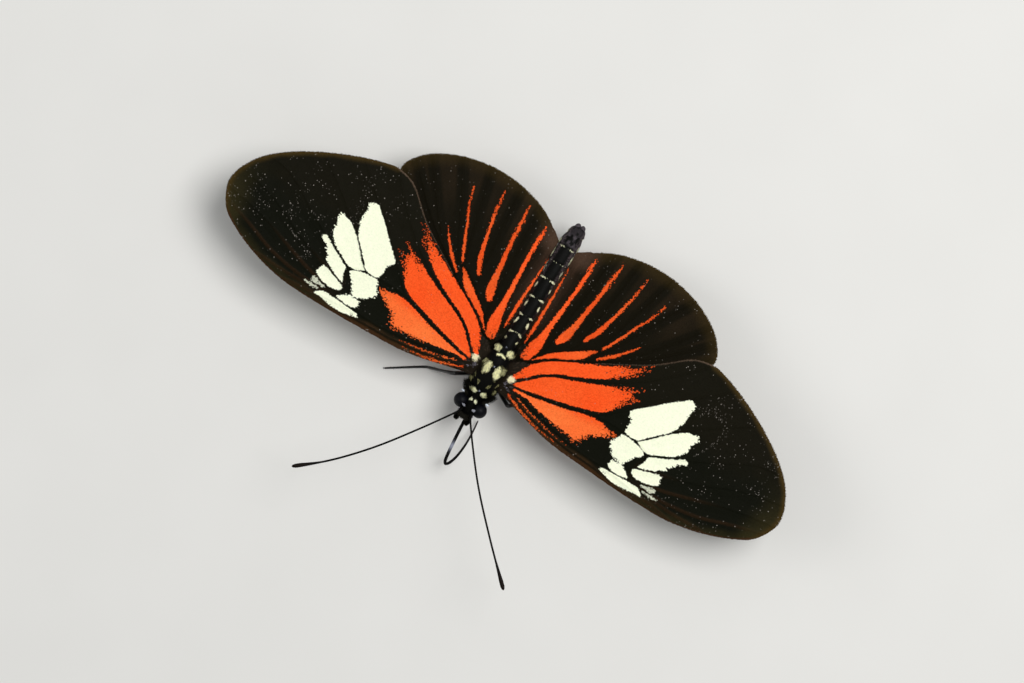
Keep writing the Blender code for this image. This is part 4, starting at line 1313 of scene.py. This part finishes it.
def antennae():
    """Ringed shafts that thicken into clubs."""
    for (suffix, _), line in zip(SIDES, (ANTENNA_LEFT, ANTENNA_RIGHT)):
        curve = smooth_line(line)
        length = lengths_along(curve)[-1]
        stops = np.linspace(0, 1, round(length / FEELER_STEP))
        radius = np.interp(stops, [0, 0.02, 0.035, 0.05, 0.84, 0.9, 0.95, 0.98, 0.995, 1],
                           [0.17, 0.2, 0.16, 0.12, 0.125, 0.19, 0.26, 0.26, 0.16, 0.04])
        ringed = (stops * length / FEELER_RING) % 1
        radius *= 1 - 0.12 * np.exp(-((ringed / 0.18) ** 2)) * (stops > 0.05)
        points, faces = ring_body(curve, stops, radius, FEELER_SIDES)
        shade = mixed(HORN, CLUB_BROWN, ramp(stops, 0.86, 0.95) * 0.7)
        shade = shade * (0.75 + 0.35 * (ringed > 0.2))[:, None]
        piece = new_piece("antenna_" + suffix + "_shaft", points, faces, FEELER_FINISH,
                          tint=per_ring(shade, FEELER_SIDES), closed=True)
        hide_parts("antenna_" + suffix)


def proboscis():
    """The tongue runs ahead, bends at its knee and comes back under itself, thinner and greyer."""
    curve = smooth_line(PROBOSCIS)
    length = lengths_along(curve)[-1]
    stops = np.linspace(0, 1, round(length / TONGUE_STEP))
    radius = np.interp(stops, [0, 0.3, 0.48, 0.6, 0.85, 0.99, 1], [0.2, 0.21, 0.2, 0.17, 0.13, 0.09, 0.03])
    ringed = (stops * length / TONGUE_RING) % 1
    radius *= 1 - 0.05 * (ringed < 0.3)
    points, faces = ring_body(curve, stops, radius, TONGUE_SIDES)
    shade = mixed(HORN, HORN_GREY, ramp(stops, 0.6, 0.95))
    # Painted highlight: a pale blue-grey band part way along the tongue, where light glints on it
    shade = mixed(shade, GLINT, 0.55 * np.exp(-(((stops * length - 5.3) / 0.5) ** 2)))
    piece = new_piece("proboscis_tube", points, faces, FEELER_FINISH,
                      tint=per_ring(shade, TONGUE_SIDES), closed=True)
    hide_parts("proboscis_out", "proboscis_back")


def spines(curve, radius, first, last, count, length, draw):
    """Small cones on a leg, leaning towards its end."""
    shapes = []
    for share in np.linspace(first, last, count):
        foot = at_shares(curve, [share])[0]
        way = at_shares(curve, [min(1, share + 0.02)])[0] - foot
        way /= np.linalg.norm(way)
        side = np.cross(way, draw.normal(0, 1, 3))
        side /= np.linalg.norm(side)
        other = np.cross(way, side)
        base = foot + side * radius * 0.8
        corners = [base + 0.035 * (math.cos(t) * way + math.sin(t) * other) for t in (0, 2.1, 4.2)]
        tip = base + length * (0.75 * way + 0.65 * side)
        faces = np.array([(0, 1, 3), (1, 2, 3), (2, 0, 3), (0, 2, 1)])
        shapes.append((np.array(corners + [tip]), faces, HORN))
    return shapes


def lengthened(line, first, last):
    """The line with its ends moved out, so that two domed bars overlap where they meet."""
    line = [np.asarray(point, float) for point in line]
    start, end = line[0] - line[1], line[-1] - line[-2]
    line[0] = line[0] + first * start / np.linalg.norm(start)
    line[-1] = line[-1] + last * end / np.linalg.norm(end)
    return line


def leg(name, lengths, nodes, seed):
    """Femur, tibia with spines, and a tarsus of five short joints with two claws."""
    draw = np.random.default_rng(seed)
    shapes = []
    for part, (line, radii) in enumerate(zip(lengths, LEG_RADII)):
        first, last = [(0, 0.6), (0.6, 0.6), (0.7, 0)][part]
        bar = lengthened(line, first * radii[0][1], last * radii[-1][1])
        (points, faces), stops = tube(bar, radii, 12, 0.14)
        shades = mixed(HORN, HORN_GREY, 0.35 * np.abs(draw.normal(0, 0.4, len(stops))).clip(0, 1))
        if part == 2:
            gap = np.min([np.abs(stops - joint) for joint in TARSUS_JOINTS], axis=0)
            shades = shades * (0.6 + 0.4 * ramp(gap, 0.0, 0.02))[:, None]
        shapes.append((points, faces, per_ring(shades, 12)))
        curve = smooth_line(line)
        count = (0, 14, 16)[part]
        shapes += spines(curve, radii[1][1], 0.1, 0.97, count, 0.2, draw) if count else []
    curve = smooth_line(lengths[2])
    end = curve[-1]
    way = curve[-1] - curve[-4]
    way /= np.linalg.norm(way)
    beside = np.cross(way, (0, 0, 1))
    for turn in (-1, 1):
        crook = end + 0.12 * way + 0.08 * turn * beside + (0, 0, 0.06)
        claw = [end, crook, end + 0.2 * way + 0.12 * turn * beside + (0, 0, -0.07)]
        (points, faces), _ = tube(claw, [(0, 0.045), (1, 0.012)], 6, 0.05)
        shapes.append((points, faces, HORN))
    points, faces, tint = joined(shapes)
    points[:, 2] = np.maximum(points[:, 2], 0.0)
    piece = new_piece(name, points, faces, HORN_FINISH, tint=tint, closed=True)
    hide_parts(*nodes)


def limb_fur(name, curve, radius, count, length, colour, seed):
    """Short hairs all round a palp or leg, lying towards its tip."""
    draw = np.random.default_rng(seed)
    shares = draw.uniform(0.02, 0.97, count)
    centres = at_shares(curve, shares)
    ways = unit(way_at(curve, shares, 0.02))
    outs = unit(np.cross(ways, draw.normal(0, 1, (count, 3))))
    roots = centres + outs * radius * 0.92
    lean = draw.uniform(0.2, 0.7, count)[:, None]
    colours = colour[None] * draw.uniform(0.6, 1.6, (count, 1))
    turn = np.arctan2(outs[:, 2], outs[:, 0]) / (2 * math.pi) + 0.5
    chart = 0.01 + 0.98 * np.column_stack([shares, turn])
    blades(name, roots, ways + outs * lean, outs, length * draw.uniform(0.6, 1.3, count),
           np.full(count, HAIR_WIDTH), 0.15, colours, chart)


# Furry limbs: line, radii, slot, then the fur's radius, hairs, length, colour and seed
FURRY_LIMBS = {
    "palp_": (PALP, [(0, 0.26), (0.4, 0.27), (0.7, 0.2), (1, 0.1)], "body_scales",
              0.22, 3200, 0.36, HAIR_OLIVE, 60),
    "foreleg_": (FORELEG, [(0, 0.2), (0.6, 0.18), (1, 0.09)], "dark_cuticle",
                 0.17, 1200, 0.22, HORN_GREY * 0.4, 70),
}

# Tufts on either side: middle, spread, way, hairs, length, colour and seed
TUFTS = {
    "cheek_": ((1.6, 3.58, 6.55), (0.08, 0.03, 0.1), (0.4, -0.7, 0.35), 210, 0.22, CHEEK_WHITE, 130),
    "cheek_dark_": ((1.2, 3.6, 6.3), (0.16, 0.08, 0.25), (0.4, -0.9, 0.25), 420, 0.5, HAIR_OLIVE, 140),
    "brow_": ((0.66, 4.98, 7.06), (0.09, 0.05, 0.02), (0.3, -0.9, 0.25), 80, 0.16, BROW_GREY, 180),
    "temple_": ((0.98, 5.6, 6.5), (0.03, 0.04, 0.04), (0.3, 0.3, 0.5), 14, 0.14, HAIR_GREY, 200),
    # Painted glint: grey hairs at each wing hinge stand for light glinting there
    "hinge_glint_": ((2.2, 0.08, 6.84), (0.1, 0.14, 0.03), (0.8, 0.1, 0.3), 45, 0.22, HAIR_GREY * 0.6, 210),
}

# Tufts along the middle of the back, pale blue-grey as painted highlights of light glinting there: ahead and
# hairs
BACK_GLINT_TUFTS = [(2.5, 12), (-0.85, 26), (-3.55, 12)]


def mouth_and_forelegs():
    """The furry palps and the small forelegs folded against the chest."""
    for suffix, side in SIDES:
        for stem, (line, radii, slot, reach, count, length, colour, seed) in FURRY_LIMBS.items():
            line = line if side > 0 else mirrored(line)
            (points, faces), _ = tube(line, radii)
            piece = new_piece(stem + suffix + "_core", points, faces, BODY_FINISH,
                              tint=np.tile(BODY_BLACK, (len(points), 1)), closed=True)
            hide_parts(stem + suffix)
            limb_fur(stem + suffix + "_fur", smooth_line(line), reach, count, length, colour,
                     seed + side)


def small_tufts():
    """Tufts of the head, the wing hinges and the back, and dark hair on the tail's lobes."""
    for number, (suffix, side) in enumerate(SIDES):
        for stem, (middle, spread, way, count, length, colour, seed) in TUFTS.items():
            tufts(stem + suffix, side, middle, spread, way, count, length, colour, seed + side)
        lobe = smooth_line(CLASPERS[number])
        limb_fur("clasper_" + suffix + "_fur", lobe[:-8], 0.36, 1300, 0.15, TAIL_GREY * 0.6,
                 150 + side)
    tufts("frons", 1, (0.0, 5.85, 6.5), (0.27, 0.14, 0.16), (0, 0.85, 0.35), 1100, 0.42,
          HAIR_OLIVE * 0.9, 190)
    # Painted highlights: pale blue-grey tufts on the midline of the back
    for number, (ahead, count) in enumerate(BACK_GLINT_TUFTS):
        middle, half_height = body_at(ahead)[2:]
        tufts("back_glint_tuft_%d" % number, 1, (0, ahead, middle + half_height + 0.12), (0.05, 0.05, 0.02),
              (0, -0.8, 0.2), count, 0.15, GLINT, 220 + number)


def wing_base_fur(wing, low, high, count, length, seed):
    """Long brown hair that spreads from the body over the wing's base."""
    draw = np.random.default_rng(seed)
    places = draw.uniform(low, high, (count, 2))
    thinning = ramp(places[:, 0], high[0], low[0] + 0.4)
    places = places[(wing.rim(places) > 0.02) & (draw.random(count) < thinning)]
    places = places[depth_in_patches([HINGE_PATCH], places) < -0.12]
    count = len(places)
    way = unit(places - wing.hub)
    way += draw.normal(0, 0.22, (count, 2)) + (0, -0.25)
    ways = np.column_stack([way, draw.uniform(0.05, 0.35, count)])
    roots = np.column_stack([places, wing.up(places, 1) - 0.02])
    # Painted glint: grey hairs near the hinge stand for light glinting on the tegula
    tegula_glint = (np.hypot(places[:, 0] - 2.3, places[:, 1] - 0.3) < 0.6) & (draw.random(count) < 0.3)
    bright = draw.uniform(0.4, 1.2, (count, 1)) + 2.2 * draw.random((count, 1)) ** 5
    colours = np.where(tegula_glint[:, None], HAIR_GREY * 0.5, HAIR_BROWN) * bright
    chart = 0.02 + 0.96 * (places - low) / (np.array(high) - np.array(low))
    sizes = length * draw.uniform(0.6, 1.3, count)
    blades(wing.name + "_base_fur", roots * wing.mirror, ways * wing.mirror, np.tile(UPWARDS, (count, 1)),
           sizes, np.full(count, TUFT_WIDTH), 0.2, colours, chart)


def legs():
    """The four legs that it stands on, with hair on their femora."""
    hindleg_right = [mirrored(part) for part in HINDLEG_LEFT]
    sets = [
        ("midleg", "l", MIDLEG_LEFT),
        ("midleg", "r", MIDLEG_RIGHT),
        ("hindleg", "l", HINDLEG_LEFT),
        ("hindleg", "r", hindleg_right),
    ]
    for seed, (kind, suffix, lengths) in enumerate(sets):
        nodes = [kind + part + suffix for part in ("_femur_", "_tibia_", "_tarsus_")]
        leg(kind + "_" + suffix + "_horn", lengths, nodes, 80 + seed)
        limb_fur(kind + "_" + suffix + "_fur", smooth_line(lengths[0]), 0.22, 900, 0.18, HORN_GREY,
                 90 + seed)


def wings():
    """Skins, scales, base fur and fringes of the four wings."""
    for suffix, side in SIDES:
        fore = Wing("forewing_" + suffix, side, forewing_edge(side), FOREWING_VEINS, forewing_lift,
                    forewing_colours, (-2.0, 1.0))
        hind = Wing("hindwing_" + suffix, side, hindwing_edge(side), HINDWING_VEINS, hindwing_lift,
                    hindwing_colours, (0.0, -1.0))
        for number, wing in enumerate((fore, hind)):
            seed = 100 + 10 * number + (5 if side < 0 else 0)
            wing_skin(wing)
            wing_scales(wing, 1, SCALES_ABOVE, seed)
            wing_scales(wing, -1, SCALES_BELOW, seed + 1)
        wing_base_fur(fore, (1.5, -3.3), (3.5, 2.1), 3600, 0.55, 160 + side)
        wing_base_fur(hind, (1.3, -4.6), (2.9, -2.6), 1500, 0.4, 170 + side)
        wing_fringe(fore, FOREWING_OUTER, 0.15, BROWN_EDGE * 0.8, 1)
        wing_fringe(fore, FOREWING_INNER[:4], 0.11, PALE_EDGE * 0.8, 2)
        wing_fringe(hind, HINDWING_OUTER, 0.17, BROWN_EDGE * 0.8, 3)


def floor_and_light():
    """A plain pale floor, a broad lamp above and even light all round."""
    mesh = bpy.data.meshes.new("floor")
    corners = [(x * FLOOR_REACH, y * FLOOR_REACH, 0) for x, y in ((-1, -1), (1, -1), (1, 1), (-1, 1))]
    mesh.from_pydata(corners, [], [(0, 1, 2, 3)])
    surface, tree, shader = node_tree("pale_floor")
    add_tones(tree, shader, add_noise(tree, 60), (0.70, 0.69, 0.66), (0.74, 0.73, 0.70))
    shader.inputs["Roughness"].default_value = 0.9
    mesh.materials.append(surface)
    floor = bpy.data.objects.new("floor", mesh)
    bpy.context.scene.collection.objects.link(floor)
    for name, place, turn, size, power in LAMPS:
        light = bpy.data.lights.new(name, "AREA")
        light.size = size
        light.energy = power
        lamp = bpy.data.objects.new(name, light)
        lamp.location = place
        lamp.rotation_euler = turn
        bpy.context.scene.collection.objects.link(lamp)
    around = bpy.data.worlds.new("around")
    around.use_nodes = True
    sky = around.node_tree.nodes["Background"].inputs
    sky["Color"].default_value = SKY_COLOUR
    sky["Strength"].default_value = SKY_STRENGTH
    bpy.context.scene.world = around
    bpy.context.scene.view_settings.view_transform = "Standard"


def camera():
    """Straight above, with the head towards the picture's lower left."""
    data = bpy.data.cameras.new("camera")
    data.lens = LENS
    data.sensor_width = 36
    data.clip_start = 0.01
    data.clip_end = 10
    eye = bpy.data.objects.new("camera", data)
    eye.location = (0.00017, 0.00461 + SHIFT / 1000, CAMERA_HEIGHT)
    eye.rotation_euler = (0, 0, CAMERA_TURN)
    bpy.context.scene.collection.objects.link(eye)
    bpy.context.scene.camera = eye


body_skin()
for seed, (name, stretch) in enumerate(FUR.items()):
    body_fur(name, *stretch, 50 + seed)
eyes()
antennae()
proboscis()
mouth_and_forelegs()
small_tufts()
legs()
wings()
floor_and_light()
camera()
